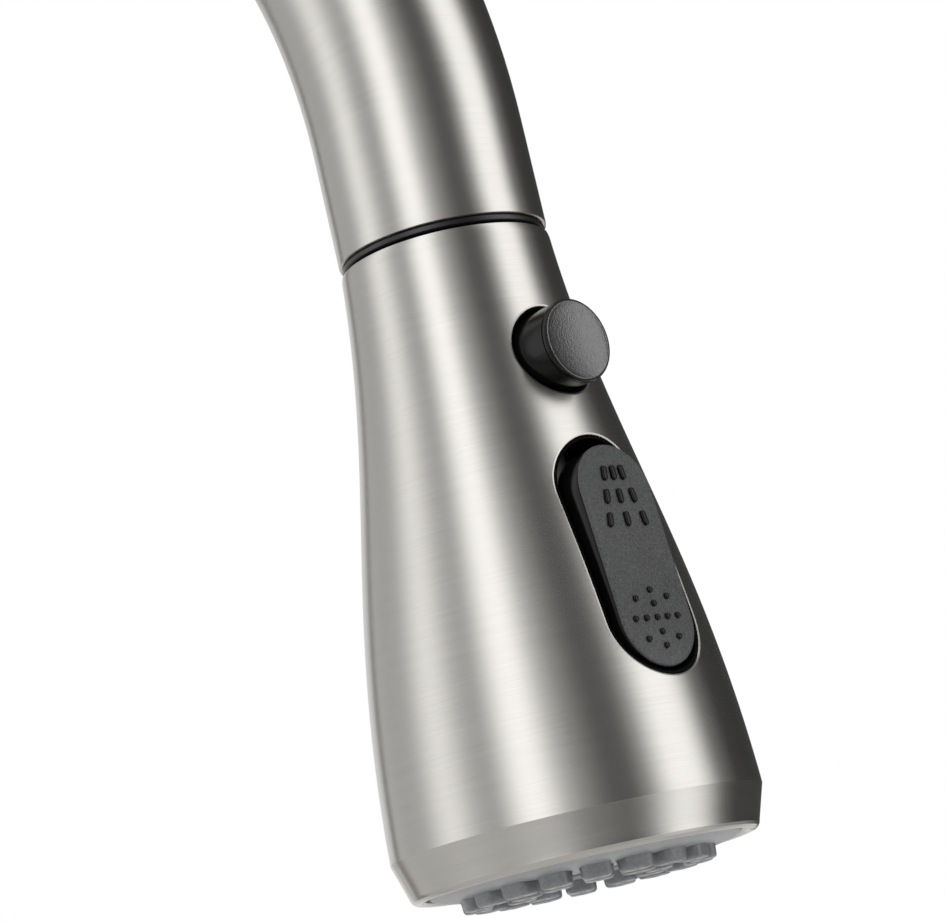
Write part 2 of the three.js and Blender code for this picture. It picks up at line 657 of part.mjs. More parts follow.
function buttonCap() {
  const cap = turned([
    [0, BUTTON_FACE],
    [BUTTON_R - 0.5, BUTTON_FACE],
    [BUTTON_R, BUTTON_FACE - 0.5],
    [BUTTON_R, BUTTON_FACE - 7.4],
    [BUTTON_R - 1.3, BUTTON_FACE - 7.4],
    [BUTTON_R - 1.3, BUTTON_FACE - 2],
    [1.4, BUTTON_FACE - 2],
    [1.4, BUTTON_SEAT - 2.4],
    [0, BUTTON_SEAT - 2.4],
  ], 28);
  return toFront(cap).translate(0, 0, BUTTON_STATION);
}

function rocker() {
  const bevel = 0.35;
  const plate = roundEndedPlate(ROCKER_HALF_LENGTH, ROCKER_HALF_WIDTH, ROCKER_THICKNESS, bevel);
  const bossEnd = ROCKER_PIN_DEPTH - ROCKER_THICKNESS + 1.8;
  const boss = block(9, 3.4, bossEnd + 0.4).translate(0, 0, (0.4 - bossEnd) / 2);
  const tabLength = (ROCKER_FACE - TAB_END) / Math.cos(ROCKER_TILT);
  const tab = block(2.4, 1.6, tabLength - 1).translate(0, 0, ROCKER_THICKNESS - (tabLength + 1) / 2);
  const pinBore = rod(1 + GAP, -10, 10, 12).rotateY(Math.PI / 2)
    .translate(0, 0, ROCKER_THICKNESS - ROCKER_PIN_DEPTH);
  const piece = cut(joined(plate, boss, tab), pinBore);
  return toFront(piece.translate(0, 0, -ROCKER_THICKNESS))
    .rotateX(-ROCKER_TILT)
    .translate(0, ROCKER_FACE, ROCKER_STATION);
}

// A liner that lines the slot: its outer face follows the shell's opening, its well holds the rocker.
function rockerBezel() {
  const well = roundEndedPlate(SLOT_HALF_LENGTH - 0.9, SLOT_HALF_WIDTH - 0.9, 16).translate(0, 0, 10);
  const frame = roundEndedPlate(SLOT_HALF_LENGTH - GAP, SLOT_HALF_WIDTH - GAP, 16).translate(0, 0, 13.2);
  const skin = turned([[0, SEAM], ...headSide.getPoints(12).map(({ x, y }) => [x - 0.5, y]), [0, RIDGE]], 36);
  const sleeve = toSolid(toFront(cut(frame, well)).translate(0, 0, SLOT_STATION));
  const pinBore = rod(1 + GAP, -SLOT_HALF_WIDTH + 0.6, SLOT_HALF_WIDTH - 0.6, 12).rotateY(Math.PI / 2);
  const ears = [-1, 1].map((side) => block(1.8, 3, 4).translate(side * 6.4, 15.4, ROCKER_PIN_STATION));
  const trimmed = toGeometry(sleeve.intersect(toSolid(skin)));
  return cut(joined(trimmed, ...ears), pinBore.translate(0, ROCKER_PIN, ROCKER_PIN_STATION));
}

function controlParts() {
  add(head, "round_button", buttonCap(), BLACK_PLASTIC);
  const sleeve = toFront(ring(BUTTON_R + 0.25, BUTTON_HOLE_R - 0.25, 10.5, 14.2, 28)).translate(0, 0, BUTTON_STATION);
  add(head, "button_sleeve", sleeve, BLACK_PLASTIC);
  const spring = toFront(ring(2.2, 3.4, BUTTON_SEAT + GAP, BUTTON_FACE - 2 - GAP, 14));
  add(head, "button_spring", spring.translate(0, 0, BUTTON_STATION), STEEL);
  add(head, "rocker", rocker(), BLACK_PLASTIC);
  const pin = rod(1, -6.7, 6.7, 12).rotateY(Math.PI / 2);
  add(head, "rocker_pin", pin.translate(0, ROCKER_PIN, ROCKER_PIN_STATION), STEEL);
  add(head, "rocker_bezel", rockerBezel(), BLACK_PLASTIC);
}

// ---------------------------------------------------------------- spray face

const PLATE_HOLE_R = NOZZLE_R + GAP;
const nozzlePlaces = NOZZLE_RINGS.flatMap(({ count, radius }) =>
  Array.from({ length: count }, (_, i) => {
    const angle = ((i + 0.5) / count) * 2 * Math.PI;
    return [radius * Math.cos(angle), radius * Math.sin(angle)];
  }));

function nozzlePad() {
  const disc = ring(AERATOR_R + GAP, PAD_R, PAD_TOP, PAD_TOP + PAD_THICKNESS, 32);
  const nozzles = nozzlePlaces.map(([x, y]) =>
    rod(NOZZLE_R, PAD_TOP + 0.5, FACE_BOTTOM + NOZZLE_REACH, 8).translate(x, y, 0));
  return joined(disc, ...nozzles);
}

function facePlate() {
  const holes = nozzlePlaces.map(([x, y]) => rod(PLATE_HOLE_R, FACE_TOP - 1, FACE_BOTTOM + 1, 8).translate(x, y, 0));
  return cut(ring(AERATOR_R + GAP, FACE_R, FACE_TOP, FACE_BOTTOM, 36), ...holes);
}

function sprayHeadParts() {
  add(head, "dock_collar", dockCollar(), BLACK_PLASTIC);
  add(head, "head_shell", headShell(), NICKEL);
  add(head, "head_core", headCore(), WHITE_PLASTIC);
  add(head, "inlet_filter", ring(1.2, CORE_BORE_R - GAP, CORE_TOP + 0.2, CORE_TOP + 1.2, 20), STEEL);
  add(head, "check_valve", ring(2.2, CORE_BORE_R - GAP, CORE_TOP + 1.5, 16.5, 20), WHITE_PLASTIC);
  add(head, "diverter_spool", diverterSpool(), GREY_PLASTIC);
  add(head, "nozzle_pad", nozzlePad(), SILICONE);
  add(head, "spray_face", facePlate(), GREY_PLASTIC);
  add(head, "face_seal", oRing(PAD_R + 1.5, 1.6, FACE_TOP - 1.1, 28), RUBBER);
  add(head, "aerator", ring(AERATOR_R - 1, AERATOR_R, 68.5, HEAD_LENGTH + 0.2, 24), GREY_PLASTIC);
  add(head, "aerator_screen", rod(AERATOR_R - 1 - GAP, FACE_BOTTOM - 2, FACE_BOTTOM - 1, 24), STEEL);
}

deckHardware();
bodyParts();
spoutParts();
hoseParts();
cartridgeParts();
leverParts();
sprayHeadParts();
controlParts();

export default faucet;
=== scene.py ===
import json
import math
from bisect import bisect

import bpy
from mathutils import Matrix, Vector


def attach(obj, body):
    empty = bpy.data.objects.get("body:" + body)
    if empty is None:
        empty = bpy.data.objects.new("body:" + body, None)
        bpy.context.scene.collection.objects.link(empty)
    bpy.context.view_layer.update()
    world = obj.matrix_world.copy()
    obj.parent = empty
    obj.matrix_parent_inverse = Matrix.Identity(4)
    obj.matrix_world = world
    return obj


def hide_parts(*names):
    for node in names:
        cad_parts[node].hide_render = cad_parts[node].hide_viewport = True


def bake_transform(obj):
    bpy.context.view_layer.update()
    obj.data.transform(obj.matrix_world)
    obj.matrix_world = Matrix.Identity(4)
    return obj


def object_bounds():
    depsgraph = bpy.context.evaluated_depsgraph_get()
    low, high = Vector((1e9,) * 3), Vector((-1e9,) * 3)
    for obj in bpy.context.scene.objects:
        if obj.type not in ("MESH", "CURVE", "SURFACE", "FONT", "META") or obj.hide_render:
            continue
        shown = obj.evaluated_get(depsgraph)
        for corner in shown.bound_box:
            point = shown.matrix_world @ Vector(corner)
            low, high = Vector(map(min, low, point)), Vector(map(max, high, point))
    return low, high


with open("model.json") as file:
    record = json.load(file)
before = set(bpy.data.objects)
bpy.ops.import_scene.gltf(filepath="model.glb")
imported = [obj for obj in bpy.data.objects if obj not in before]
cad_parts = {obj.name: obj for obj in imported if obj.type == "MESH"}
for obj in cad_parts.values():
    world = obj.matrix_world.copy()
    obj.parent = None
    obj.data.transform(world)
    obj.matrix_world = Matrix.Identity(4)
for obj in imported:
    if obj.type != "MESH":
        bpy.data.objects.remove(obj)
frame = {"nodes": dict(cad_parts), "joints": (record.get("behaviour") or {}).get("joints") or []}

cad_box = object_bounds()

# ---- Camera
# A long lens near the spray head, a little above it and to the left of its front.

joints = {joint["name"]: joint for joint in frame["joints"]}
NECK_LIP = Vector(joints["head_swivel"]["pos_m"])
HEAD_AXIS = Vector(joints["head_swivel"]["axis"]).normalized()  # down the spray head

camera = bpy.data.objects.new("camera", bpy.data.cameras.new("camera"))
camera.location = NECK_LIP + Vector((-0.27003, -0.29607, -0.01158))
camera.rotation_euler = (math.radians(87.65), 0, math.radians(-42.93))
camera.data.lens = 115.28
bpy.context.scene.collection.objects.link(camera)
bpy.context.scene.camera = camera

# ---- Studio
# White paper all round, tall soft boxes that stand about the spray head's axis, and black cards
# between them. The room is seen only in reflections: the camera sees white.


def linear(colour):
    """An sRGB hex colour as linear red, green, blue and alpha."""
    channels = [int(colour[i : i + 2], 16) / 255 for i in (1, 3, 5)]
    return [c / 12.92 if c <= 0.04045 else ((c + 0.055) / 1.055) ** 2.4 for c in channels] + [1]


def node(tree, kind, settings=None, inputs=None):
    """A node with its settings. Each input takes a number, a colour or another node's output."""
    made = tree.nodes.new(kind)
    for name, value in (settings or {}).items():
        setattr(made, name, value)
    for name, value in (inputs or {}).items():
        socket = made.inputs[name]
        if isinstance(value, bpy.types.NodeSocket):
            tree.links.new(value, socket)
        else:
            socket.default_value = value
    return made


BOX_STRENGTH = 2.48
# Degrees round the head's axis from the camera's side, positive to the right, and brightness: the
# room beside the head, and the softer, darker ends of the boxes below it.
ROOM = [
    (-180, 0.39), (-134, 0.34), (-114, 0.33), (-99, 0.41), (-86, 0.69), (-75, 0.75), (-63, 0.49),
    (-52, 0.33), (-42, 0.40), (-32, 0.80), (-23, 1.0), (-14, 0.89), (-5, 0.53), (5, 0.29),
    (14, 0.17), (23, 0.09), (32, 0.07), (42, 0.11), (52, 0.35), (63, 0.84), (74, 0.93),
    (86, 0.84), (99, 0.26), (114, 0.07), (134, 0.03), (180, 0.03),
]
ROOM_BELOW = [
    (-180, 0.26), (-96, 0.24), (-60, 0.25), (-36, 0.27), (-20, 0.31), (-8, 0.28), (4, 0.15),
    (24, 0.09), (40, 0.1), (52, 0.3), (66, 0.72), (80, 0.8), (92, 0.5), (108, 0.07), (140, 0.02),
    (180, 0.05),
]

world = bpy.data.worlds.new("studio")
bpy.context.scene.world = world
world.use_nodes = True
room = world.node_tree
room.nodes.clear()
towards_camera = camera.location - NECK_LIP
towards_camera -= HEAD_AXIS * towards_camera.dot(HEAD_AXIS)
towards_camera.normalize()
to_the_right = towards_camera.cross(HEAD_AXIS)

direction = node(room, "ShaderNodeTexCoord").outputs["Generated"]


def along(axis):
    """How far the looking direction points along an axis."""
    part = node(room, "ShaderNodeVectorMath", {"operation": "DOT_PRODUCT"}, {0: direction, 1: axis})
    return part.outputs["Value"]


turn = node(
    room, "ShaderNodeMath", {"operation": "ARCTAN2"}, {0: along(to_the_right), 1: along(towards_camera)}
)
place = node(
    room,
    "ShaderNodeMapRange",
    None,
    {"Value": turn.outputs[0], "From Min": -math.pi, "From Max": math.pi},
)


def boxes_round(levels):
    """The brightness round the head's axis, running smoothly through the given levels."""
    boxes = node(room, "ShaderNodeValToRGB", None, {"Fac": place.outputs[0]})
    stops = boxes.color_ramp.elements
    while len(stops) < len(levels):
        stops.new(0.5)
    for stop, (angle, level) in zip(stops, levels):
        stop.position = (angle + 180) / 360
        stop.color = (level, level, level, 1)
    boxes.color_ramp.interpolation = "CARDINAL"
    return boxes.outputs[0]


low = node(
    room,
    "ShaderNodeMapRange",
    {"interpolation_type": "SMOOTHSTEP"},
    {"Value": along(HEAD_AXIS), "From Min": 0.14, "From Max": 0.36},
)
whole = node(room, "ShaderNodeMix", {"data_type": "RGBA"}, {"Factor": low.outputs[0]})
room.links.new(boxes_round(ROOM), whole.inputs[6])
room.links.new(boxes_round(ROOM_BELOW), whole.inputs[7])
lit_room = node(
    room, "ShaderNodeBackground", None, {"Color": whole.outputs[2], "Strength": BOX_STRENGTH}
)
paper = node(room, "ShaderNodeBackground", None, {"Color": (1, 1, 1, 1), "Strength": 1.0})
seen = node(room, "ShaderNodeLightPath").outputs["Is Camera Ray"]
either = node(room, "ShaderNodeMixShader", None, {0: seen})
room.links.new(lit_room.outputs[0], either.inputs[1])
room.links.new(paper.outputs[0], either.inputs[2])
node(room, "ShaderNodeOutputWorld", None, {"Surface": either.outputs[0]})
bpy.context.scene.view_settings.view_transform = "Standard"


def principled(name, looks, inputs):
    """A material of one Principled shader: looks adds its nodes, inputs are its even values."""
    material = bpy.data.materials.new(name)
    material.use_nodes = True
    tree = material.node_tree
    shader = tree.nodes["Principled BSDF"]
    for socket, value in inputs.items():
        shader.inputs[socket].default_value = value
    looks(tree, shader)
    return material


def paper_grain(tree, shader):
    """Faint clouding, as on a paper floor, in patches about 60 mm across."""
    where = node(tree, "ShaderNodeTexCoord").outputs["Object"]
    cloud = node(tree, "ShaderNodeTexNoise", None, {"Vector": where, "Scale": 16})
    tint = node(tree, "ShaderNodeValToRGB", None, {"Fac": cloud.outputs["Fac"]})
    tint.color_ramp.elements[0].color = linear("#f0efed")
    tint.color_ramp.elements[1].color = linear("#f7f6f5")
    tree.links.new(tint.outputs[0], shader.inputs["Base Color"])


FLOOR_R = 0.9
floor_mesh = bpy.data.meshes.new("floor")
rim = [
    (FLOOR_R * math.cos(i * math.tau / 96), FLOOR_R * math.sin(i * math.tau / 96), cad_box[0][2])
    for i in range(96)
]
floor_mesh.from_pydata(rim, [], [list(range(96))])
floor = bpy.data.objects.new("floor", floor_mesh)
bpy.context.scene.collection.objects.link(floor)
floor.data.materials.append(principled("studio_paper", paper_grain, {"Roughness": 0.9}))

# ---- Deck seal
# A moulded rubber ring seals the faucet to the deck. Its matt black shows as a thin line.


def rubber_bloom(tree, shader):
    """A moulded rubber's dull, faintly dusty face, its grain about 0.3 mm."""
    where = node(tree, "ShaderNodeTexCoord").outputs["Object"]
    dust = node(tree, "ShaderNodeTexNoise", None, {"Vector": where, "Scale": 300, "Detail": 6})
    tint = node(tree, "ShaderNodeValToRGB", None, {"Fac": dust.outputs["Fac"]})
    tint.color_ramp.elements[0].color = linear("#141414")
    tint.color_ramp.elements[1].color = linear("#2a2a29")
    tree.links.new(tint.outputs[0], shader.inputs["Base Color"])
    bump = node(
        tree,
        "ShaderNodeBump",
        None,
        {"Height": dust.outputs["Fac"], "Strength": 0.4, "Distance": 0.0001},
    )
    tree.links.new(bump.outputs[0], shader.inputs["Normal"])


black_rubber = principled("moulded_black_rubber", rubber_bloom, {"Roughness": 0.8})


def paint(material, *names):
    """Gives CAD pieces that keep their shape the material."""
    for name in names:
        mesh = frame["nodes"][name].data
        mesh.materials.clear()
        mesh.materials.append(material)
        mesh.polygons.foreach_set("material_index", [0] * len(mesh.polygons))


paint(
    black_rubber,
    "base_gasket",
    "rubber_washer",
    "port_seal",
    "spout_seal_lower",
    "spout_seal_upper",
    "face_seal",
    "index_plug",
)

# ---- Flange
# A turned brass ring under the body, brushed and nickel plated like the rest of the faucet.

MM = Matrix.Diagonal((0.001, 0.001, 0.001, 1))  # millimetres in the faucet's frame to metres


def circle(radius, z, count=96):
    """A ring of points about Z, starting at the back."""
    turns = [math.tau * (i / count) + math.pi / 2 for i in range(count)]
    return [Vector((radius * math.cos(t), radius * math.sin(t), z)) for t in turns]


def skin(name, rings, place=MM, ends="capped", sharp=32):
    """A mesh over a row of rings. Its ends are "capped", "open" or "joined" to each other.

    Its UVs are lengths in metres: U round each ring, V from ring to ring.
    """
    count = len(rings[0])
    widest = max(rings, key=lambda ring: (ring[0] - ring[count // 2]).length)
    around = [0.0]
    for i in range(count):
        around.append(around[-1] + (widest[(i + 1) % count] - widest[i]).length * 0.001)
    travel = [0.0]
    closed = ends == "joined"
    rows = list(zip(rings, rings[1:] + rings[:1]))[: len(rings) if closed else len(rings) - 1]
    faces = []
    uvs = []
    for i, (here, there) in enumerate(rows):
        travel.append(travel[-1] + max((b - a).length for a, b in zip(here, there)) * 0.001)
        a = i * count
        b = (i + 1) % len(rings) * count
        for j in range(count):
            k = (j + 1) % count
            faces.append((a + j, a + k, b + k, b + j))
            low, high = travel[i], travel[i + 1]
            uvs += [(around[j], low), (around[j + 1], low), (around[j + 1], high), (around[j], high)]
    if ends == "capped":
        last = (len(rings) - 1) * count
        faces.append(tuple(reversed(range(count))))
        faces.append(tuple(range(last, last + count)))
        for ring in (list(reversed(rings[0])), rings[-1]):
            uvs += [(point.x * 0.001, point.y * 0.001) for point in ring]
    mesh = bpy.data.meshes.new(name)
    mesh.from_pydata([point for ring in rings for point in ring], [], faces)
    mesh.uv_layers.new(name="UVMap").data.foreach_set("uv", [c for uv in uvs for c in uv])
    mesh.transform(place)
    mesh.shade_smooth()
    mesh.set_sharp_from_angle(angle=math.radians(sharp))
    piece = bpy.data.objects.new(name, mesh)
    bpy.context.scene.collection.objects.link(piece)
    return piece


def turned(name, outline, place=MM, count=96, sharp=32):
    """A closed outline of [radius, z] points turned about Z."""
    return skin(name, [circle(r, z, count) for r, z in outline], place, "joined", sharp)


def fit(piece, material, body, slot, *nodes):
    """Finishes a piece: its material, its body and the CAD nodes it stands for. Its slot is not used."""
    piece.data.materials.clear()
    piece.data.materials.append(material)
    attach(piece, body)
    if nodes:
        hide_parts(*nodes)
    return piece


def brushed(tree, shader):
    """Brushing round the piece: lines about 0.15 mm apart and 12 mm long, drawn a little coarse."""
    uv = node(tree, "ShaderNodeUVMap", {"uv_map": "UVMap"}).outputs[0]
    lines = node(tree, "ShaderNodeMapping", None, {"Vector": uv, "Scale": (80, 7000, 1)})
    fine = node(
        tree,
        "ShaderNodeTexNoise",
        {"noise_dimensions": "2D"},
        {"Vector": lines.outputs[0], "Scale": 1, "Detail": 3, "Roughness": 0.6},
    )
    streaks = node(tree, "ShaderNodeMapping", None, {"Vector": uv, "Scale": (25, 900, 1)})
    broad = node(
        tree,
        "ShaderNodeTexNoise",
        {"noise_dimensions": "2D"},
        {"Vector": streaks.outputs[0], "Scale": 1, "Detail": 4, "Roughness": 0.55},
    )
    both = node(
        tree,
        "ShaderNodeMix",
        {"data_type": "FLOAT"},
        {"Factor": 0.35, "A": fine.outputs["Fac"], "B": broad.outputs["Fac"]},
    )
    tint = node(tree, "ShaderNodeValToRGB", None, {"Fac": both.outputs[0]})
    tint.color_ramp.elements[0].position = 0.3
    tint.color_ramp.elements[0].color = linear("#a7a5a1")
    tint.color_ramp.elements[1].position = 0.7
    tint.color_ramp.elements[1].color = linear("#adaba7")
    tree.links.new(tint.outputs[0], shader.inputs["Base Color"])
    gloss = node(
        tree,
        "ShaderNodeMapRange",
        None,
        {"Value": both.outputs[0], "From Min": 0.3, "From Max": 0.7, "To Min": 0.25, "To Max": 0.27},
    )
    tree.links.new(gloss.outputs[0], shader.inputs["Roughness"])
    bump = node(
        tree,
        "ShaderNodeBump",
        None,
        {"Height": both.outputs[0], "Strength": 0.035, "Distance": 0.00002},
    )
    tree.links.new(bump.outputs[0], shader.inputs["Normal"])
    way = node(tree, "ShaderNodeTangent", {"direction_type": "UV_MAP", "uv_map": "UVMap"})
    tree.links.new(way.outputs[0], shader.inputs["Tangent"])


# Brushed nickel plate: a warm pale metal. The brushing runs round each piece, so lights are drawn
# out along it and stay soft across it.
brushed_nickel = principled(
    "brushed_nickel_plate",
    brushed,
    {"Metallic": 1.0, "Anisotropic": 0.8, "Anisotropic Rotation": 0.25},
)

FLANGE_R = 27
FLANGE_BOTTOM = 1.8
FLANGE_TOP = 8
SHANK_HOLE_R = 16.8
flange = turned(
    "deck_flange",
    [
        (SHANK_HOLE_R, FLANGE_BOTTOM),
        (FLANGE_R - 0.3, FLANGE_BOTTOM),
        (FLANGE_R, FLANGE_BOTTOM + 0.3),
        (FLANGE_R, FLANGE_TOP - 1.6),
        (FLANGE_R - 0.12, FLANGE_TOP - 1.0),
        (FLANGE_R - 0.47, FLANGE_TOP - 0.47),
        (FLANGE_R - 1.0, FLANGE_TOP - 0.12),
        (FLANGE_R - 1.6, FLANGE_TOP),
        (SHANK_HOLE_R, FLANGE_TOP),
    ],
)
fit(flange, brushed_nickel, "base", "brushed_nickel", "base_flange")

# ---- Shank, washers and nut
# A turned brass shank screws up into the body and passes down through the deck. A rubber washer,
# a pressed steel plate and a brass hexagon nut clamp it from below.

SHANK_R = 16.5
SHANK_BORE_R = 14
SHANK_BOTTOM = -62
SHANK_TOP = 21.3
PITCH = 1.5
THREAD_DEPTH = 0.9


def worn_metal(tree, shader, dark, light, low=0.3, high=0.45):
    """A turned or pressed metal: tool lines about 0.2 mm apart, and cloudy dulling."""
    where = node(tree, "ShaderNodeTexCoord").outputs["Object"]
    cloud = node(tree, "ShaderNodeTexNoise", None, {"Vector": where, "Scale": 120, "Detail": 4})
    tint = node(tree, "ShaderNodeValToRGB", None, {"Fac": cloud.outputs["Fac"]})
    tint.color_ramp.elements[0].position = 0.3
    tint.color_ramp.elements[0].color = linear(dark)
    tint.color_ramp.elements[1].position = 0.7
    tint.color_ramp.elements[1].color = linear(light)
    tree.links.new(tint.outputs[0], shader.inputs["Base Color"])
    gloss = node(
        tree,
        "ShaderNodeMapRange",
        None,
        {"Value": cloud.outputs["Fac"], "To Min": low, "To Max": high},
    )
    tree.links.new(gloss.outputs[0], shader.inputs["Roughness"])
    squeezed = node(tree, "ShaderNodeMapping", None, {"Vector": where, "Scale": (200, 200, 5000)})
    lines = node(tree, "ShaderNodeTexNoise", None, {"Vector": squeezed.outputs[0], "Scale": 1})
    bump = node(
        tree,
        "ShaderNodeBump",
        None,
        {"Height": lines.outputs["Fac"], "Strength": 0.3, "Distance": 0.00002},
    )
    tree.links.new(bump.outputs[0], shader.inputs["Normal"])


# Turned brass: bright yellow, dulled in clouds by handling.
turned_brass = principled(
    "turned_brass",
    lambda tree, shader: worn_metal(tree, shader, "#a9884c", "#c2a163"),
    {"Metallic": 1.0},
)
# Stainless steel, pressed or drawn: a cool grey with a soft shine.
stainless = principled(
    "stainless_steel",
    lambda tree, shader: worn_metal(tree, shader, "#a2a3a4", "#bcbdbe", 0.25, 0.38),
    {"Metallic": 1.0},
)


def thread_ring(z, count=72):
    """A ring round the shank's thread, whose ridge climbs one pitch in a turn."""
    ring = []
    for i in range(count):
        phase = (z / PITCH - i / count) % 1.0
        ridge = min(1.0, max(0.0, 2.6 * abs(phase - 0.5) - 0.15))
        radius = SHANK_R - THREAD_DEPTH * ridge
        turn_by = math.tau * i / count + math.pi / 2
        ring.append(Vector((radius * math.cos(turn_by), radius * math.sin(turn_by), z)))
    return ring


thread_turns = int((-SHANK_BOTTOM - 3) / PITCH)
thread = [thread_ring(SHANK_BOTTOM + 1.2 + i * PITCH / 8) for i in range(thread_turns * 8)]
shank_rings = [circle(SHANK_BORE_R, SHANK_BOTTOM, 72), circle(SHANK_R - 1.4, SHANK_BOTTOM, 72)]
shank_rings += [circle(SHANK_R - 0.9, SHANK_BOTTOM + 0.6, 72)] + thread
thread_top = thread[-1][0].z
shank_rings += [circle(SHANK_R - 0.5, thread_top + 0.4, 72), circle(SHANK_R, thread_top + 1, 72)]
shank_rings += [circle(SHANK_R, SHANK_TOP, 72), circle(SHANK_BORE_R, SHANK_TOP, 72)]
shank = skin("threaded_brass_shank", shank_rings, MM, "joined", 40)
fit(shank, turned_brass, "base", "brass", "threaded_shank")


def hexagon(across_flats, limit, z, count=96):
    """A ring round a hexagon whose corners are turned down to a limit radius."""
    ring = []
    for i in range(count):
        turn_by = math.tau * i / count + math.pi / 2
        from_flat = (turn_by + math.pi / 6) % (math.pi / 3) - math.pi / 6
        radius = min(across_flats / 2 / math.cos(from_flat), limit)
        ring.append(Vector((radius * math.cos(turn_by), radius * math.sin(turn_by), z)))
    return ring


def hex_nut(name, across_flats, bore, bottom, top, place=MM):
    """A hexagon nut with turned-down corners and a chamfered bore."""
    half, corner = across_flats / 2, across_flats / math.sqrt(3)
    rings = [
        circle(bore, bottom + 0.5),
        circle(bore + 0.5, bottom),
        hexagon(across_flats, half - 0.2, bottom),
        hexagon(across_flats, corner - 0.4, bottom + (corner - half) * 0.55),
        hexagon(across_flats, corner - 0.4, top - (corner - half) * 0.55),
        hexagon(across_flats, half - 0.2, top),
        circle(bore + 0.5, top),
        circle(bore, top - 0.5),
    ]
    return skin(name, rings, place, "joined", 25)


nut = hex_nut("brass_mounting_nut", 45, SHANK_HOLE_R, -46.9, -35.9)
fit(nut, turned_brass, "base", "brass", "mounting_nut")
clamp = turned(
    "steel_clamp_plate",
    [
        (SHANK_HOLE_R, -35.5), (SHANK_HOLE_R + 0.2, -35.6), (25.4, -35.6), (26, -35.1),
        (26, -34.0), (25.7, -33.6), (SHANK_HOLE_R + 0.2, -33.6), (SHANK_HOLE_R, -33.8),
    ],
)
fit(clamp, stainless, "base", "steel", "clamp_plate")

# ---- Body
# Cast brass body with a side barrel for the valve, bored for the shank, the spout and the hose,
# then brushed and nickel plated. A cast fillet joins the barrel to the body.

BODY_BOTTOM = 8.3
BODY_HEIGHT = 150
BODY_FOOT_R = 25
BODY_TOP_R = 17.5
VALVE_HEIGHT = 85
BARREL_R = 17
BARREL_END = 38
POCKET_R = 13.3
POCKET_FLOOR = 16
SOCKET_R = 16.2
SOCKET_FLOOR = 108
HOSE_PASSAGE_R = 6.2
INLETS = ((5.85, 8.36), (5.85, -8.36), (10.2, 0.0))  # two supplies and the mixed water
INLET_HOLE_R = 3.7


def combine(piece, other, operation="DIFFERENCE"):
    """Cuts the other solid out of the piece, or joins it on, and takes the other away."""
    step = piece.modifiers.new("combine", "BOOLEAN")
    step.operation = operation
    step.solver = "MANIFOLD"
    step.object = other
    evaluated = piece.evaluated_get(bpy.context.evaluated_depsgraph_get())
    made = bpy.data.meshes.new_from_object(evaluated)
    piece.modifiers.clear()
    piece.data = made
    bpy.data.objects.remove(other)


def crisp(piece, sharp):
    """Smooth shading, with an edge wherever the surface turns by more than sharp degrees."""
    piece.data.shade_smooth()
    piece.data.set_sharp_from_angle(angle=math.radians(sharp))


def body_point(t):
    """A point on the body's side, as radius and height, along its curve."""
    s = 1 - t
    foot, top = Vector((BODY_FOOT_R, BODY_BOTTOM)), Vector((BODY_TOP_R, BODY_HEIGHT))
    lower, upper = Vector((BODY_FOOT_R - 4.5, 45)), Vector((BODY_TOP_R + 5, 109.5))
    return foot * s**3 + lower * 3 * s * s * t + upper * 3 * s * t * t + top * t**3


body_side = [body_point(i / 90) for i in range(91)]
body_heights = [point.y for point in body_side]


def body_radius(height):
    """The body's outer radius at a height."""
    i = min(max(bisect(body_heights, height), 1), len(body_side) - 1)
    a, b = body_side[i - 1], body_side[i]
    return a.x + (b.x - a.x) * (height - a.y) / (b.y - a.y)


body = turned(
    "faucet_body",
    [
        (SHANK_HOLE_R, BODY_BOTTOM),
        (BODY_FOOT_R - 0.5, BODY_BOTTOM),
        (BODY_FOOT_R - 0.1, BODY_BOTTOM + 0.1),
        *[(point.x, point.y) for point in body_side[1:-1]],
        (BODY_TOP_R - 0.1, BODY_HEIGHT - 0.25),
        (BODY_TOP_R - 0.45, BODY_HEIGHT),
        (SOCKET_R, BODY_HEIGHT),
        (SOCKET_R, SOCKET_FLOOR),
        (HOSE_PASSAGE_R, SOCKET_FLOOR),
        (HOSE_PASSAGE_R, 22.3),
        (SHANK_HOLE_R, 22.3),
    ],
    MM,
    144,
)
VALVE = Matrix.Translation((0, 0, VALVE_HEIGHT * 0.001)) @ Matrix.Rotation(math.pi / 2, 4, "Y") @ MM
barrel = skin(
    "barrel",
    [
        circle(r, z, 144)
        for r, z in (
            (BARREL_R, 9), (BARREL_R, 24), (BARREL_R, 30), (BARREL_R, BARREL_END - 0.5),
            (BARREL_R - 0.15, BARREL_END - 0.15), (BARREL_R - 0.5, BARREL_END),
        )
    ],
    VALVE,
)
combine(body, barrel, "UNION")
combine(body, skin("pocket", [circle(POCKET_R, z, 72) for z in (POCKET_FLOOR, BARREL_END + 1)], VALVE))
for x, y in INLETS:
    drill_rings = [circle(INLET_HOLE_R, z, 36) for z in (20, 31.3)]
    drill = skin("drill", drill_rings, MM @ Matrix.Translation((x, y, 0)))
    combine(body, drill)
combine(body, skin("hose_passage", [circle(HOSE_PASSAGE_R, z, 48) for z in (10, 120)], MM))
crisp(body, 32)
FILLET = 3.2
fillet_rings = []
for i in range(144):
    around_barrel = math.tau * i / 144
    up, y = math.sin(around_barrel), math.cos(around_barrel)
    ring = []
    for j in range(9):
        t = j / 8
        ends = []
        for spread, out in ((0.02, FILLET), (0.0, 0.0), (FILLET, 0.0)):
            reach = BARREL_R + spread
            height = VALVE_HEIGHT + reach * up
            radius = body_radius(height) + 0.02
            meets = math.sqrt(max(radius**2 - (reach * y) ** 2, 0.0))
            ends.append(Vector((meets + out, reach * y, height)))
        a, corner, b = ends
        ring.append(a * (1 - t) ** 2 + corner * 2 * t * (1 - t) + b * t * t)
    fillet_rings.append(ring)
fillet = bpy.data.meshes.new("fillet")
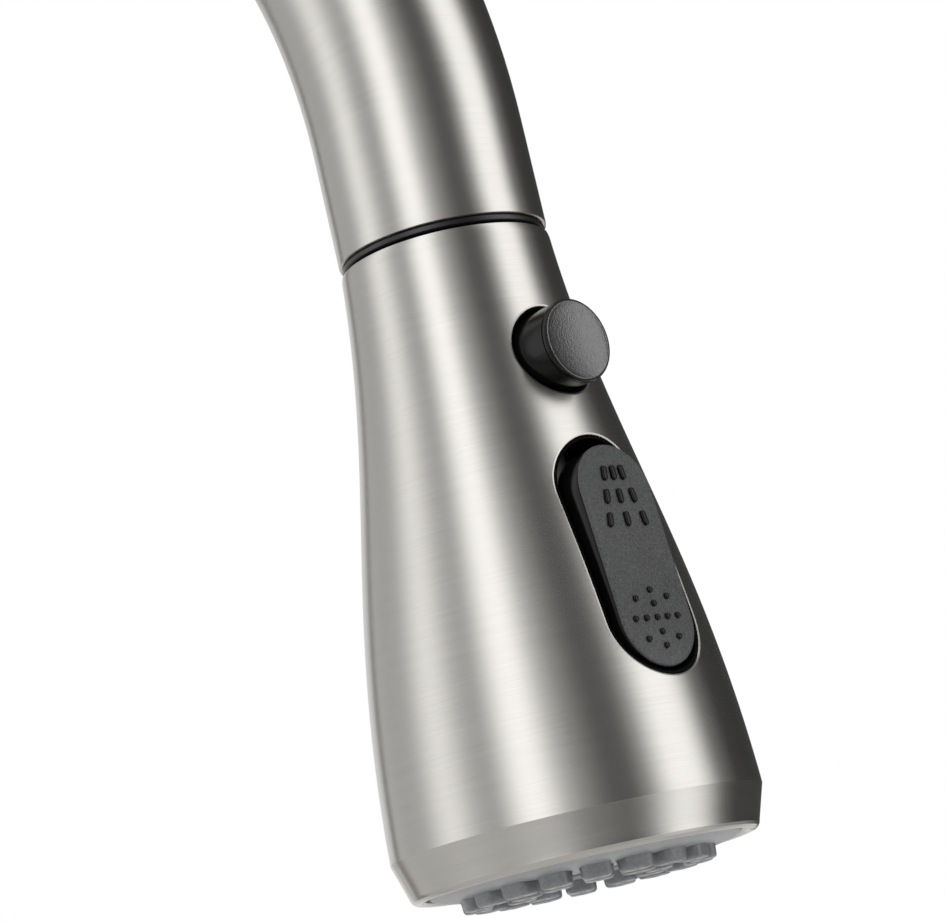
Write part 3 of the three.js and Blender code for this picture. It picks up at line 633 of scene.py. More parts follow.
fillet.from_pydata(
    [point for ring in fillet_rings for point in ring],
    [],
    [
        (i * 9 + j, i * 9 + j + 1, (i + 1) % 144 * 9 + j + 1, (i + 1) % 144 * 9 + j)
        for i in range(144)
        for j in range(8)
    ],
)
fillet.uv_layers.new(name="UVMap").data.foreach_set(
    "uv",
    [
        c
        for i in range(144)
        for j in range(8)
        for u, v in ((i, j), (i, j + 1), (i + 1, j + 1), (i + 1, j))
        for c in (u * 0.0008, v * 0.0006)
    ],
)
fillet.transform(MM)
fillet.shade_smooth()
fillet_piece = bpy.data.objects.new("body_barrel_fillet", fillet)
bpy.context.scene.collection.objects.link(fillet_piece)
fit(body, brushed_nickel, "base", "brushed_nickel", "body_casting")
fit(fillet_piece, brushed_nickel, "base", "brushed_nickel")
paint(turned_brass, "hot_inlet", "cold_inlet", "mixed_outlet")

# ---- Cartridge
# A ceramic-disc cartridge in a white acetal case, held down by a brass nut under a plated ring.


def moulded(tree, shader, grain, depth, dark="#0b0b0c", light="#131314"):
    """Moulded plastic: pits a grain apart, in millimetres, and a faint drift of colour."""
    where = node(tree, "ShaderNodeTexCoord").outputs["Object"]
    pits = node(
        tree, "ShaderNodeTexNoise", None, {"Vector": where, "Scale": 800 / grain, "Detail": 1}
    )
    drift = node(tree, "ShaderNodeTexNoise", None, {"Vector": where, "Scale": 90, "Detail": 3})
    both = node(
        tree,
        "ShaderNodeMix",
        {"data_type": "FLOAT"},
        {"Factor": 0.35, "A": pits.outputs["Fac"], "B": drift.outputs["Fac"]},
    )
    tint = node(tree, "ShaderNodeValToRGB", None, {"Fac": both.outputs[0]})
    tint.color_ramp.elements[0].position = 0.35
    tint.color_ramp.elements[0].color = linear(dark)
    tint.color_ramp.elements[1].position = 0.65
    tint.color_ramp.elements[1].color = linear(light)
    tree.links.new(tint.outputs[0], shader.inputs["Base Color"])
    bump = node(
        tree,
        "ShaderNodeBump",
        None,
        {"Height": pits.outputs["Fac"], "Strength": 1.0, "Distance": depth * 0.001},
    )
    tree.links.new(bump.outputs[0], shader.inputs["Normal"])


# Acetal: white, waxy and smooth.
white_acetal = principled(
    "moulded_white_acetal",
    lambda tree, shader: moulded(tree, shader, 0.4, 0.005, "#d6d5d0", "#e4e3df"),
    {"Roughness": 0.35, "IOR": 1.48},
)
# Alumina, lapped flat: ivory with a fine polish.
alumina = principled(
    "lapped_alumina",
    lambda tree, shader: moulded(tree, shader, 0.3, 0.002, "#e2ddd2", "#ece8df"),
    {"Roughness": 0.15, "IOR": 1.76},
)
# Moulded ABS in pale grey, half matt.
grey_abs = principled(
    "moulded_grey_abs",
    lambda tree, shader: moulded(tree, shader, 0.25, 0.012, "#86878a", "#909193"),
    {"Roughness": 0.42},
)
paint(white_acetal, "cartridge_base", "cartridge_housing", "disc_carrier", "head_core", "check_valve")
paint(white_acetal, "swivel_bush_lower", "swivel_bush_upper")
paint(alumina, "fixed_disc", "moving_disc")
paint(grey_abs, "stem_rotor", "diverter_spool")
paint(turned_brass, "cartridge_nut", "hose_nut")
paint(stainless, "lever_pivot_pin", "lever_stem", "set_screw", "spout_retaining_clip")
paint(stainless, "inlet_filter", "rocker_pin", "button_spring")
bonnet = turned(
    "bonnet_ring_plated",
    [
        (12.5, BARREL_END + 0.3), (16.2, BARREL_END + 0.3), (16.5, BARREL_END + 0.6),
        (16.5, BARREL_END + 1.6), (16.2, BARREL_END + 2.1), (15.6, BARREL_END + 2.3),
        (12.8, BARREL_END + 2.3), (12.5, BARREL_END + 2.0),
    ],
    VALVE,
)
fit(bonnet, brushed_nickel, "base", "brushed_nickel", "bonnet_ring")

# ---- Lever
# A spun brass ball cap turns and lifts over the valve, and a flat forged lever is studded to its
# side. Both are brushed and nickel plated. A set screw under a rubber plug holds the cap.

LEVER_PIVOT = 34
HUB_R = 20.6
HUB_WALL = 2
HUB_RIM = 38.6
LEVER_ROOT = 45.5
LEVER_FOOT = 14
LEVER_TOP = 93
LEVER_WIDTH = 15
SCREW_STATION = 47


def ball_rings(radius, first, last, steps, count=120):
    """Rings round the lift axis's ball, between two angles from the valve's axis."""
    rings = []
    for i in range(steps + 1):
        angle = math.radians(first + (last - first) * i / steps)
        rings.append(circle(radius * math.sin(angle), LEVER_PIVOT + radius * math.cos(angle), count))
    return rings


rim_angle = math.degrees(math.acos((HUB_RIM - LEVER_PIVOT) / HUB_R))
inner_angle = math.degrees(math.acos((HUB_RIM - LEVER_PIVOT) / (HUB_R - HUB_WALL)))
hub_rings = ball_rings(HUB_R - HUB_WALL, 1, inner_angle, 24)
hub_rings += [
    circle(r, z, 120) for r, z in ((18.3, HUB_RIM), (19.7, HUB_RIM), (19.98, HUB_RIM + 0.12))
]
hub_rings += ball_rings(HUB_R, rim_angle - 1.2, 1, 40)
hub = skin("lever_ball_cap", hub_rings, VALVE)
stud_place = VALVE @ Matrix.Translation((0, 0, LEVER_ROOT)) @ Matrix.Rotation(-math.pi / 2, 4, "Y")
combine(hub, skin("stud_hole", [circle(2.9, z, 48) for z in (12, 24)], stud_place))
boss = skin("boss", [circle(r, z, 48) for r, z in ((3.4, 44), (5.5, 44), (5.5, 53.4))], VALVE)
combine(hub, boss, "UNION")
combine(hub, skin("stem_bore", [circle(3.4, z, 48) for z in (43, 50.3)], VALVE))
screw_place = VALVE @ Matrix.Translation((0, 0, SCREW_STATION)) @ Matrix.Rotation(math.pi / 2, 4, "Y")
combine(hub, skin("screw_bore", [circle(2.3, z, 48) for z in (3, 24)], screw_place))
crisp(hub, 30)
fit(hub, brushed_nickel, "handle", "brushed_nickel", "handle_hub")


def bezier(points, t):
    """A point on a cubic curve."""
    a, b, c, d = (Vector(p) for p in points)
    s = 1 - t
    return a * s**3 + b * 3 * s * s * t + c * 3 * s * t * t + d * t**3


def rounded_bar(near, far, width, corner, count=64):
    """A ring round a bar's section: near and far are its two faces' centres, as x and height."""
    middle, half = (near + far) / 2, (far - near) / 2
    thick = half.length
    corner = min(corner, thick * 0.98)
    ring = []
    for i in range(count):
        angle = math.tau * (i + 0.5) / count
        c, s = math.cos(angle), math.sin(angle)
        along_y = math.copysign(width / 2 - corner, s) + corner * s
        along_x = math.copysign(thick - corner, c) + corner * c
        point = middle + half / thick * along_x
        ring.append(Vector((point.x, along_y, VALVE_HEIGHT + point.y)))
    return ring


blade_inner = (
    (LEVER_ROOT - 4.5, LEVER_FOOT), (LEVER_ROOT - 4, LEVER_FOOT + 25),
    (LEVER_ROOT + 4, LEVER_TOP - 30), (LEVER_ROOT + 10, LEVER_TOP),
)
blade_outer = (
    (LEVER_ROOT + 4.5, LEVER_FOOT), (LEVER_ROOT + 5, LEVER_FOOT + 25),
    (LEVER_ROOT + 9, LEVER_TOP - 30), (LEVER_ROOT + 13, LEVER_TOP),
)
blade_rings = []
for i in range(61):
    t = i / 60
    fade = max(0.0, (t - 0.965) / 0.035)
    round_off = 1 - math.sqrt(max(0.0, 1 - fade * fade))
    near, far = bezier(blade_inner, t), bezier(blade_outer, t)
    middle = (near + far) / 2
    near, far = near.lerp(middle, 0.75 * round_off), far.lerp(middle, 0.75 * round_off)
    blade_rings.append(rounded_bar(near, far, LEVER_WIDTH - 3.2 * round_off, 1.5))
blade = skin("lever_blade", [list(reversed(ring)) for ring in blade_rings])
combine(blade, skin("ball", ball_rings(HUB_R + 0.3, 179, 1, 60, 96), VALVE))
combine(blade, skin("stud", [circle(2.6, z, 48) for z in (15.6, 25.6)], stud_place), "UNION")
crisp(blade, 30)
fit(blade, brushed_nickel, "handle", "brushed_nickel", "lever")

# ---- Spout tube
# Drawn brass tube, bent on a mandrel, then brushed round and nickel plated. Its lip is turned
# true where the spray head docks.

NECK_R = 14
NECK_BORE_R = 12.8
BEND_R = 86
BEND_HEIGHT = 290
BEND_ANGLE = math.pi - math.radians(18.84)
NECK_STRAIGHT = 15
SPOUT_BOTTOM = 109.5


def bend_station(angle, extra=0.0):
    """The centre line's point and direction at an angle round the bend, or on past it."""
    way = Vector((0, -math.sin(angle), math.cos(angle)))
    centre = Vector((0, BEND_R * (math.cos(angle) - 1), BEND_HEIGHT + BEND_R * math.sin(angle)))
    return centre + way * extra, way


def swept_ring(station, radius, count=96):
    """A ring of points square to the centre line at a station, starting at the outside."""
    centre, way = station
    across = Vector((1, 0, 0))
    out = way.cross(across)
    turns = [math.tau * i / count for i in range(count)]
    return [centre + radius * (out * math.cos(t) - across * math.sin(t)) for t in turns]


straight = [(Vector((0, 0, z)), Vector((0, 0, 1))) for z in (SPOUT_BOTTOM, 140, 170, 200, 230, 260)]
bend = [bend_station(BEND_ANGLE * i / 96) for i in range(97)]
outside = [swept_ring(station, NECK_R) for station in straight + bend]
outside += [swept_ring(bend_station(BEND_ANGLE, e), NECK_R) for e in (4, 8, 12, 14.6)]
lip = [
    swept_ring(bend_station(BEND_ANGLE, NECK_STRAIGHT - 0.12), NECK_R - 0.06),
    swept_ring(bend_station(BEND_ANGLE, NECK_STRAIGHT), NECK_R - 0.3),
    swept_ring(bend_station(BEND_ANGLE, NECK_STRAIGHT), NECK_BORE_R + 0.2),
    swept_ring(bend_station(BEND_ANGLE, NECK_STRAIGHT - 0.2), NECK_BORE_R),
]
inside = [swept_ring(station, NECK_BORE_R) for station in (straight + bend)[::-1]]
neck = skin("gooseneck_tube", outside + lip + inside, MM, "joined")
fit(neck, brushed_nickel, "spout", "brushed_nickel", "spout_tube")
trim = turned(
    "spout_trim_plated",
    [
        (NECK_R + 0.3, 150.3), (17.0, 150.3), (17.3, 150.6), (17.2, 151.4), (16.9, 152.3),
        (16.3, 153.2), (15.6, 153.8), (15.1, 154), (14.6, 154), (NECK_R + 0.3, 153.8),
    ],
)
fit(trim, brushed_nickel, "spout", "brushed_nickel", "spout_trim_ring")

# ---- Spray hose
# A rubber hose in a jacket of braided nylon runs up inside the neck and is crimped to the head.
# On the faucet it is drawn out of the neck with the head; here its length near the head is a separate
# piece, not attached to the head. Its lower end has a brass connector.

HOSE_R = 5
HOSE_BORE_R = 3.2
HOSE_BOTTOM = -60
DRAWN_FROM = 0.86  # share of the bend after which the hose is drawn with the head


def braid_with_painted_light(tree, shader):
    """Braided nylon: two sets of strands about 0.9 mm apart that cross over and under; each strand's
    crest is coloured lighter as a painted highlight and the hollows between strands darker as painted
    shade.
    """
    uv = node(tree, "ShaderNodeUVMap", {"uv_map": "UVMap"}).outputs[0]
    strands = []
    for lean in (45, -45):
        turned_uv = node(
            tree,
            "ShaderNodeMapping",
            None,
            {"Vector": uv, "Rotation": (0, 0, math.radians(lean)), "Scale": (180, 180, 1)},
        )
        strands.append(
            node(
                tree,
                "ShaderNodeTexWave",
                {"wave_profile": "SIN"},
                {"Vector": turned_uv.outputs[0], "Scale": 1.0},
            )
        )
    top = node(
        tree,
        "ShaderNodeMath",
        {"operation": "MAXIMUM"},
        {0: strands[0].outputs["Fac"], 1: strands[1].outputs["Fac"]},
    )
    # Painted light: the ramp colours each strand's crest lighter (painted highlight) and the hollows
    # between strands darker (painted shade).
    tint = node(tree, "ShaderNodeValToRGB", None, {"Fac": top.outputs[0]})
    tint.color_ramp.elements[0].color = linear("#0d0d0e")
    tint.color_ramp.elements[1].color = linear("#333436")
    tree.links.new(tint.outputs[0], shader.inputs["Base Color"])
    bump = node(
        tree,
        "ShaderNodeBump",
        None,
        {"Height": top.outputs[0], "Strength": 0.8, "Distance": 0.0003},
    )
    tree.links.new(bump.outputs[0], shader.inputs["Normal"])


# Braided nylon: black, with a painted highlight along each strand's crest and painted shade between the
# strands.
nylon_braid = principled("braided_black_nylon", braid_with_painted_light, {"Roughness": 0.5})
drawn_angle = BEND_ANGLE * DRAWN_FROM
riser = [(Vector((0, 0, z)), Vector((0, 0, 1))) for z in (HOSE_BOTTOM, -20, 30, 80, 130, 180, 230, 270)]
riser += [bend_station(drawn_angle * i / 60) for i in range(61)]
drawn = [bend_station(drawn_angle + (BEND_ANGLE - drawn_angle) * i / 14) for i in range(15)]
drawn += [bend_station(BEND_ANGLE, extra) for extra in (2, 5, 8, 11, 14, 16, 17.1)]


def hose(name, stations):
    """A length of hose along the stations."""
    rings = [swept_ring(station, HOSE_R, 40) for station in stations]
    rings += [swept_ring(station, HOSE_BORE_R, 40) for station in reversed(stations)]
    return skin(name, rings, MM, "joined", 40)


fit(hose("hose_in_the_neck", riser), nylon_braid, "spout", "hose_jacket", "hose_run")
spray_hose = hose("spray_hose", drawn)
spray_hose.data.materials.append(nylon_braid)
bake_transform(spray_hose)
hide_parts("hose_end")
connector = hex_nut("hose_connector_nut", 13, HOSE_BORE_R, -72.3, -60.3)
fit(connector, turned_brass, "spout", "brass", "hose_connector")

# ---- Spray head shell
# Spun and machined brass shell, brushed round and nickel plated. The button's hole and the
# rocker's slot are milled through and their edges broken, which leaves a bright line.

HEAD_ACROSS = Vector((1, 0, 0))
HEAD_FRONT = HEAD_AXIS.cross(HEAD_ACROSS)
# Millimetres down the head from the neck's lip, with Y to its front.
head_turn = Matrix((HEAD_ACROSS, HEAD_FRONT, HEAD_AXIS)).transposed()
HEAD = Matrix.Translation(NECK_LIP) @ head_turn.to_4x4() @ MM

SEAM = 1.28
RIDGE = 77.7
RIDGE_R = 24.17
RIM_R = 22.7
HEAD_LENGTH = 83.2
HEAD_WALL = 1.6
FACE_R = 20.5
side_points = [
    Vector((NECK_R, SEAM)),
    Vector((15.48, 29.44)),
    Vector((23.14, 44.84)),
    Vector((RIDGE_R, RIDGE)),
]


def side_point(t):
    """A point on the head's side, as radius and station, along its curve."""
    a, b, c, d = side_points
    s = 1 - t
    return a * s**3 + b * 3 * s * s * t + c * 3 * s * t * t + d * t**3


side = [side_point(i / 140) for i in range(141)]
side_stations = [point.y for point in side]


def side_radius(station):
    """The head's outer radius at a station."""
    i = min(max(bisect(side_stations, station), 1), len(side) - 1)
    a, b = side[i - 1], side[i]
    return a.x + (b.x - a.x) * (station - a.y) / (b.y - a.y)


outer = [(point.x, point.y) for point in side[1:-1]]
inner = [
    (point.x - HEAD_WALL, point.y)
    for point in side[::-10]
    if SEAM + 2 * HEAD_WALL < point.y < 76
]
shell_outline = [
    (10.2, SEAM),
    (NECK_R - 0.35, SEAM),
    (NECK_R - 0.08, SEAM + 0.1),
    *outer,
    (RIDGE_R, RIDGE),
    (RIDGE_R - 0.07, RIDGE + 0.2),
    *[(RIDGE_R - 0.07 - 1.37 * t / 6, RIDGE + 0.2 + 4.3 * t / 6) for t in range(1, 7)],
    (22.66, 82.5),
    (22.45, 82.85),
    (22.1, 83.1),
    (21.7, HEAD_LENGTH),
    (21.25, 83.1),
    (20.95, 82.85),
    (20.8, 82.5),
    (20.8, 77.8),
    *inner,
    (NECK_R - HEAD_WALL, SEAM + HEAD_WALL),
    (10.2, SEAM + HEAD_WALL),
]
shell = turned("spray_head_shell", shell_outline, HEAD, 216, 24)


def front(station, depth=0.0, lean=0.0):
    """A frame on the head's front: X across, Y up towards the neck, Z outwards."""
    facing = Matrix(((1, 0, 0, 0), (0, 0, 1, depth), (0, -1, 0, station), (0, 0, 0, 1)))
    return HEAD @ facing @ Matrix.Rotation(-lean, 4, "X")


def stadium(half_length, half_width, z=0.0, count=144):
    """A ring of points with two straight sides and round ends, long along Y."""
    straight_part = half_length - half_width
    arc = math.pi * half_width
    total = 2 * arc + 4 * straight_part
    ring = []
    for i in range(count):
        travelled = total * i / count
        end = 1
        if travelled >= total / 2:
            travelled -= total / 2
            end = -1
        if travelled < arc:
            angle = travelled / half_width
            x, y = half_width * math.cos(angle), straight_part + half_width * math.sin(angle)
        else:
            x, y = -half_width, straight_part - (travelled - arc)
        ring.append(Vector((end * x, end * y, z)))
    return ring


def on_surface(ring, station, lift):
    """The ring's points carried out to the head's surface, and lift beyond it."""
    carried = []
    for point in ring:
        radius = side_radius(station - point.y)
        carried.append(Vector((point.x, point.y, math.sqrt(radius**2 - point.x**2) + lift)))
    return carried


def edge_cutter(name, outline, station, edge):
    """A cutter for an opening; outline(grow) gives a ring that much larger.

    edge gives the opening's broken edge, as how far out and how far under the surface it runs.
    """
    beyond = 0.06
    (before_grow, before_under), (last_grow, last_under) = edge[-2:]
    slope = (last_grow - before_grow) / (before_under - last_under)
    grown = outline(last_grow + (beyond + last_under) * slope)
    rings = [[Vector((p.x, p.y, 6)) for p in outline(0)]]
    rings += [on_surface(outline(grow), station, -under) for grow, under in edge]
    rings.append(on_surface(grown, station, beyond))
    rings.append([Vector((p.x, p.y, 34)) for p in grown])
    return skin(name, rings, front(station))


BUTTON_STATION = 19.3
BUTTON_HOLE_R = 6.43
SLOT_STATION = 47.45
SLOT_HALF_LENGTH = 16.38
SLOT_HALF_WIDTH = 7.83
combine(
    shell,
    edge_cutter(
        "button_hole",
        lambda grow: circle(BUTTON_HOLE_R - 0.34 + grow, 0, 144),
        BUTTON_STATION,
        ((0, 0.9), (0.01, 0.22), (0.04, 0.13), (0.1, 0.075), (0.22, 0.035)),
    ),
)
combine(
    shell,
    edge_cutter(
        "rocker_slot",
        lambda grow: stadium(SLOT_HALF_LENGTH - 0.22 + grow, SLOT_HALF_WIDTH - 0.22 + grow),
        SLOT_STATION,
        ((0, 0.8), (0.01, 0.2), (0.04, 0.11), (0.09, 0.065), (0.19, 0.03)),
    ),
)
crisp(shell, 15)
fit(shell, brushed_nickel, "spray_head", "brushed_nickel", "head_shell")

# ---- Dock collar
# The black acetal collar that centres the head in the neck. Its flange is the dark line between
# neck and head.

# Acetal turned from bar: black, smooth and a little waxy.
black_acetal = principled(
    "turned_black_acetal",
    lambda tree, shader: moulded(tree, shader, 0.3, 0.004),
    {"Roughness": 0.3, "IOR": 1.48},
)
collar = turned(
    "dock_collar_ring",
    [
        (5.6, -10),
        (8.2, -10),
        (9.2, -8),
        (9.2, 0.12),
        (13.45, 0.12),
        (13.64, 0.2),
        (13.68, 0.45),
        (13.62, 0.75),
        (13.4, 0.9),
        (9.9, 0.98),
        (9.9, 8),
        (8.4, 8),
        (8.4, 2),
        (5.6, 2),
    ],
    HEAD,
    144,
)
fit(collar, black_acetal, "spray_head", "black_plastic", "dock_collar")

# ---- Button
# ABS push button in a moulded sleeve: a dished, spark-eroded cap on a barrel, with a fine groove
# under the cap. It locks the spray so that it stays on.

BUTTON_R = 5.5
BUTTON_FACE = 20.1
button_frame = front(BUTTON_STATION + 0.1)

# Polished ABS: black with clear reflections.
polished_abs = principled(
    "polished_black_abs",
    lambda tree, shader: moulded(tree, shader, 0.4, 0.003, "#070707", "#0b0b0b"),
    {"Roughness": 0.16, "IOR": 1.46, "Specular IOR Level": 0.22},
)
cap = [circle(r, z, 96) for r, z in (
    (1.4, 7.2),
    (1.4, BUTTON_FACE - 2),
    (4.2, BUTTON_FACE - 2),
    (4.2, BUTTON_FACE - 7.4),
    (5.2, BUTTON_FACE - 7.4),
    (BUTTON_R, BUTTON_FACE - 7.1),
    (BUTTON_R, BUTTON_FACE - 0.85),
    (BUTTON_R - 0.1, BUTTON_FACE - 0.8),
    (BUTTON_R - 0.1, BUTTON_FACE - 0.66),
    (BUTTON_R + 0.02, BUTTON_FACE - 0.6),
    (BUTTON_R + 0.02, BUTTON_FACE - 0.2),
    (BUTTON_R - 0.06, BUTTON_FACE - 0.06),
    (BUTTON_R - 0.14, BUTTON_FACE - 0.03),
    (BUTTON_R - 0.24, BUTTON_FACE - 0.06),
    (BUTTON_R - 0.3, BUTTON_FACE - 0.95),
)]
button = skin("spray_lock_button", cap, button_frame)
fit(button, polished_abs, "button", "black_plastic", "round_button")

# Spark-eroded ABS: black and half glossy, with a glint on each grain. The grain is drawn at 0.2 mm.
grained_abs = principled(
    "grained_black_abs",
    lambda tree, shader: moulded(tree, shader, 0.2, 0.055, "#0a0a0b", "#2f2f30"),
    {"Roughness": 0.22, "IOR": 1.54, "Specular IOR Level": 1.0},
)
DISH_R = BUTTON_R - 0.27
DISH_DEPTH = 0.5
dish_levels = [(DISH_R - 0.3, -0.9), (DISH_R, -0.8), (DISH_R, -0.06), (DISH_R - 0.05, 0.0)]
dish_levels += [(DISH_R - 0.13, 0.01), (DISH_R - 0.2, -0.02)]
for i in range(11):
    outwards = 1 - i / 10
    dish_levels.append((4.9 * outwards + 0.04, -0.06 - DISH_DEPTH * (1 - outwards**2)))
dish_rings = [circle(r, BUTTON_FACE + z, 96) for r, z in dish_levels]
dish = skin("button_face_dish", dish_rings, button_frame)
fit(dish, grained_abs, "button", "black_plastic")

# ---- Rocker
# ABS rocker that tips between stream and spray: glossy sides, and a matt dark-grey face pad with
# nine raised bars for stream and thirteen raised dots for spray.

ROCKER_STATION = 47.84
ROCKER_FACE = 21.42
ROCKER_TILT = 0.095
ROCKER_HALF_LENGTH = 14.74
ROCKER_HALF_WIDTH = 6.17
rocker_frame = front(ROCKER_STATION, ROCKER_FACE, ROCKER_TILT)


def plate_rings(levels):
    """Rings of the rocker's outline, each pulled in by an amount at a height."""
    return [
        stadium(ROCKER_HALF_LENGTH - inset, ROCKER_HALF_WIDTH - inset, height)
        for inset, height in levels
    ]


rocker_body = skin(
    "rocker_body",
    plate_rings([
        (0.5, -4.6), (0.15, -4.4), (0.0, -4.0), (0.0, -0.62), (0.06, -0.5), (0.2, -0.45), (0.5, -0.45),
    ]),
    rocker_frame,
)
fit(rocker_body, polished_abs, "spray_rocker", "black_plastic", "rocker")

# Grained grey thermoplastic rubber, moulded over the rocker: matt, with an eroded grain.
grained_pad = principled(
    "grained_grey_pad",
    lambda tree, shader: moulded(tree, shader, 0.19, 0.1, "#272829", "#4a4b4c"),
    {"Roughness": 0.55, "IOR": 1.5},
)
pad = skin(
    "rocker_face_pad",
    plate_rings([(0.5, -0.5), (0.04, -0.42), (0.0, -0.3), (0.07, -0.12), (0.22, -0.02), (0.4, 0.0)]),
    rocker_frame,
)
fit(pad, grained_pad, "spray_rocker", "black_plastic")


def raised(name, rings, places, face_frame):
    """Small raised marks as one mesh: rings give one mark, each place is x, y and a turn."""
    merged = []
    for x, y, angle in places:
        spot = face_frame @ Matrix.Translation((x, y, 0)) @ Matrix.Rotation(angle, 4, "Z")
        merged.append(skin(name, rings, spot, sharp=50))
    first = merged[0]
    with bpy.context.temp_override(
        active_object=first, object=first, selected_objects=merged, selected_editable_objects=merged
    ):
        bpy.ops.object.join()
    return first


BAR_HALF_LENGTH = 0.98
BAR_HALF_WIDTH = 0.4
BAR_ROWS = [(10.8, 1.55, 8), (7.7, 2.3, 9), (4.6, 3.0, 10)]  # height, spacing, splay in degrees
bars = [
    (side_of * spacing, y, math.radians(side_of * splay - 4))
    for y, spacing, splay in BAR_ROWS
    for side_of in (-1, 0, 1)
]
bar_levels = [
    stadium(BAR_HALF_LENGTH - inset, BAR_HALF_WIDTH - inset, z, 24)
    for inset, z in ((-0.03, -0.1), (-0.03, 0.02), (0.02, 0.3), (0.1, 0.4), (0.25, 0.42))
]
marks = raised("stream_bars", bar_levels, bars, rocker_frame)
fit(marks, polished_abs, "spray_rocker", "black_plastic")

DOT_R = 0.4
DOTS = [(0, 4.8), (2.6, 5.8), (-2.9, 5.8), (0, 6.6)]
DOTS += [(x, 8.4) for x in (-3.9, -2, -0.1, 1.7, 3.5)]
DOTS += [(0, 10.3), (2.6, 11.1), (-2.7, 11.1), (0, 12.1)]
dot_levels = [
    circle(DOT_R - inset, z, 20)
    for inset, z in ((-0.03, -0.1), (-0.03, 0.02), (0.02, 0.24), (0.1, 0.34), (0.27, 0.38))
]
dots = raised("spray_dots", dot_levels, [(x, -y, 0) for x, y in DOTS], rocker_frame)
fit(dots, polished_abs, "spray_rocker", "black_plastic")

# ---- Rocker bezel and button sleeve
# Black ABS liners that close the gaps between the controls and the metal shell.


def liner(name, outline, wall, station, top, bottom):
    """A sleeve in an opening, its top edge following the shell's surface."""
    rings = [[Vector((p.x, p.y, bottom)) for p in outline(0)]]
    rings.append(on_surface(outline(0), station, top - 0.15))
    rings.append(on_surface(outline(-0.1), station, top))
    rings.append(on_surface(outline(0.1 - wall), station, top))
    rings.append(on_surface(outline(-wall), station, top - 0.15))
    rings.append([Vector((p.x, p.y, bottom)) for p in outline(-wall)])
    return skin(name, rings, front(station), "joined", 50)


# Eroded black ABS inside the openings: its near-pure black colour and almost no shine are partly the
# plastic's own black and partly painted shade for the openings.
liner_abs_with_painted_shade = principled(
    "black_abs_with_painted_shade",
    lambda tree, shader: moulded(tree, shader, 0.4, 0.01, "#010101", "#040404"),
    {"Roughness": 0.6, "IOR": 1.54, "Specular IOR Level": 0.04},
)
bezel = liner(
    "rocker_bezel_liner",
    lambda grow: stadium(SLOT_HALF_LENGTH - 0.24 + grow, SLOT_HALF_WIDTH - 0.24 + grow),
    0.5,
    SLOT_STATION,
    -0.28,
    12.5,
)
fit(bezel, liner_abs_with_painted_shade, "spray_head", "black_plastic", "rocker_bezel")
sleeve = liner(
    "button_sleeve_liner",
    lambda grow: circle(BUTTON_HOLE_R - 0.36 + grow, 0, 96),
    0.3,
    BUTTON_STATION,
    -0.3,
    10.5,
)
fit(sleeve, liner_abs_with_painted_shade, "spray_head", "black_plastic", "button_sleeve")

# ---- Spray face
# A grey ABS face plate clipped into the shell, and a silicone pad whose soft nozzles stand
# through it, so that lime can be rubbed off.

NOZZLE_RINGS = ((18, 14.6), (10, 9.0))  # how many, and how far out
FACE_BOTTOM = 82.6
NOZZLE_REACH = 2.95
AERATOR_R = 5.2

# Silicone rubber: grey, milky and slightly clear, so its edges look light.
grey_silicone = principled(
    "moulded_grey_silicone",
    lambda tree, shader: moulded(tree, shader, 0.3, 0.02, "#6c6e70", "#7c7e80"),
    {
        "Roughness": 0.33,
        "IOR": 1.42,
        "Subsurface Weight": 0.2,
        "Subsurface Radius": (1.0, 1.0, 1.0),
        "Subsurface Scale": 0.0012,
    },
)
plate = turned(
    "face_plate",
    [
        (AERATOR_R + 0.3, 80.2),
        (FACE_R, 80.2),
        (FACE_R, 82.1),
        (FACE_R - 0.3, 82.2),
        (FACE_R - 0.3, 82.85),
        (FACE_R - 0.42, 83.0),
        (FACE_R - 0.7, 83.08),
        (19.2, 83.4),
        (18.0, 83.68),
        (17.2, 83.82),
        (15.5, 83.95),
        (AERATOR_R + 0.7, 83.95),
        (AERATOR_R + 0.3, 83.6),
    ],
    HEAD,
    144,
)
fit(plate, grey_abs, "spray_head", "grey_plastic", "spray_face")


def rounded_square(half, z, count=28, power=5):
    """A ring of points on a soft square, or on a circle where power is 2."""
    ring = []
    for i in range(count):
        c, s = math.cos(math.tau * i / count), math.sin(math.tau * i / count)
        scale = half / (abs(c) ** power + abs(s) ** power) ** (1 / power)
        ring.append(Vector((c * scale, s * scale, z)))
    return ring


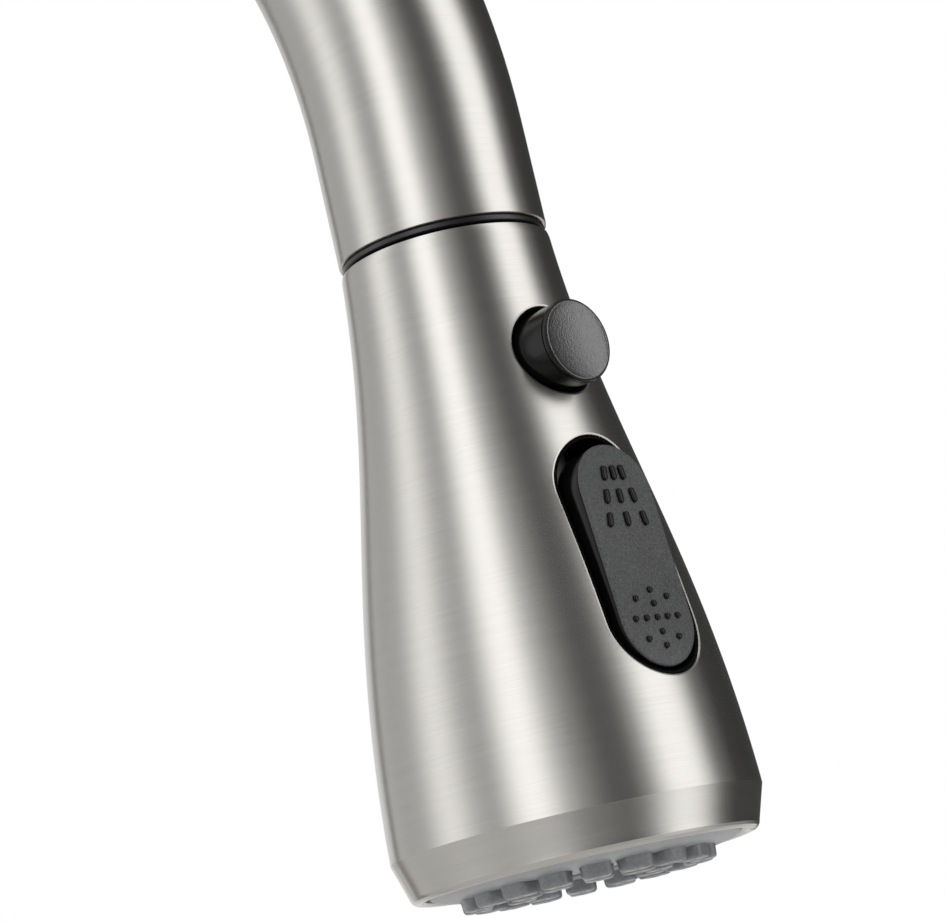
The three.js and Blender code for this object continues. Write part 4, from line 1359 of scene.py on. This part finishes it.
tip = FACE_BOTTOM + NOZZLE_REACH
nozzle_levels = [
    rounded_square(half, z)
    for half, z in (
        (1.98, 81.0), (1.98, 84.0), (1.9, 84.2), (1.84, 85.1), (1.76, 85.35), (1.6, 85.5), (1.3, tip),
    )
]
nozzle_levels += [rounded_square(0.55, tip, power=2), rounded_square(0.44, tip - 0.9, power=2)]
nozzle_places = []
for count, radius in NOZZLE_RINGS:
    for i in range(count):
        angle = (i + 0.5) / count * math.tau
        nozzle_places.append((radius * math.cos(angle), radius * math.sin(angle), angle))
nozzles = raised("silicone_nozzles", nozzle_levels, nozzle_places, HEAD)
fit(nozzles, grey_silicone, "spray_head", "silicone", "nozzle_pad")

# ---- Aerator
# A screw-in aerator for the stream, with a woven steel screen a little way inside it.

aerator = turned(
    "stream_aerator",
    [
        (AERATOR_R - 1, 68.5), (AERATOR_R, 68.5), (AERATOR_R, 82.9), (AERATOR_R - 0.15, 83.25),
        (AERATOR_R - 0.4, 83.4), (AERATOR_R - 0.7, 83.35), (AERATOR_R - 0.9, 83.1), (AERATOR_R - 1, 82.8),
    ],
    HEAD,
)
fit(aerator, grey_abs, "spray_head", "grey_plastic", "aerator")


def woven(tree, shader):
    """Woven wire: square meshes 0.6 mm apart; the gaps between the wires and the wires' edges are
    coloured dark as painted shade.
    """
    where = node(tree, "ShaderNodeTexCoord").outputs["Object"]
    wires = []
    for across in ("X", "Z"):
        wires.append(
            node(
                tree,
                "ShaderNodeTexWave",
                {"bands_direction": across},
                {"Vector": where, "Scale": 520},
            )
        )
    top = node(
        tree,
        "ShaderNodeMath",
        {"operation": "MAXIMUM"},
        {0: wires[0].outputs["Fac"], 1: wires[1].outputs["Fac"]},
    )
    # Painted shade: values below the ramp's middle, in the gaps between the wires and at the wires'
    # edges, are coloured dark.
    tint = node(tree, "ShaderNodeValToRGB", None, {"Fac": top.outputs[0]})
    tint.color_ramp.elements[0].position = 0.5
    tint.color_ramp.elements[0].color = linear("#1c1c1c")
    tint.color_ramp.elements[1].color = linear("#b8b9ba")
    tree.links.new(tint.outputs[0], shader.inputs["Base Color"])


# Woven stainless wire: bright wires, with painted shade coloured into the gaps between them.
wire_screen = principled("woven_steel_wire", woven, {"Metallic": 1.0, "Roughness": 0.35})
paint(wire_screen, "aerator_screen")
paint(black_acetal, "dock_insert")
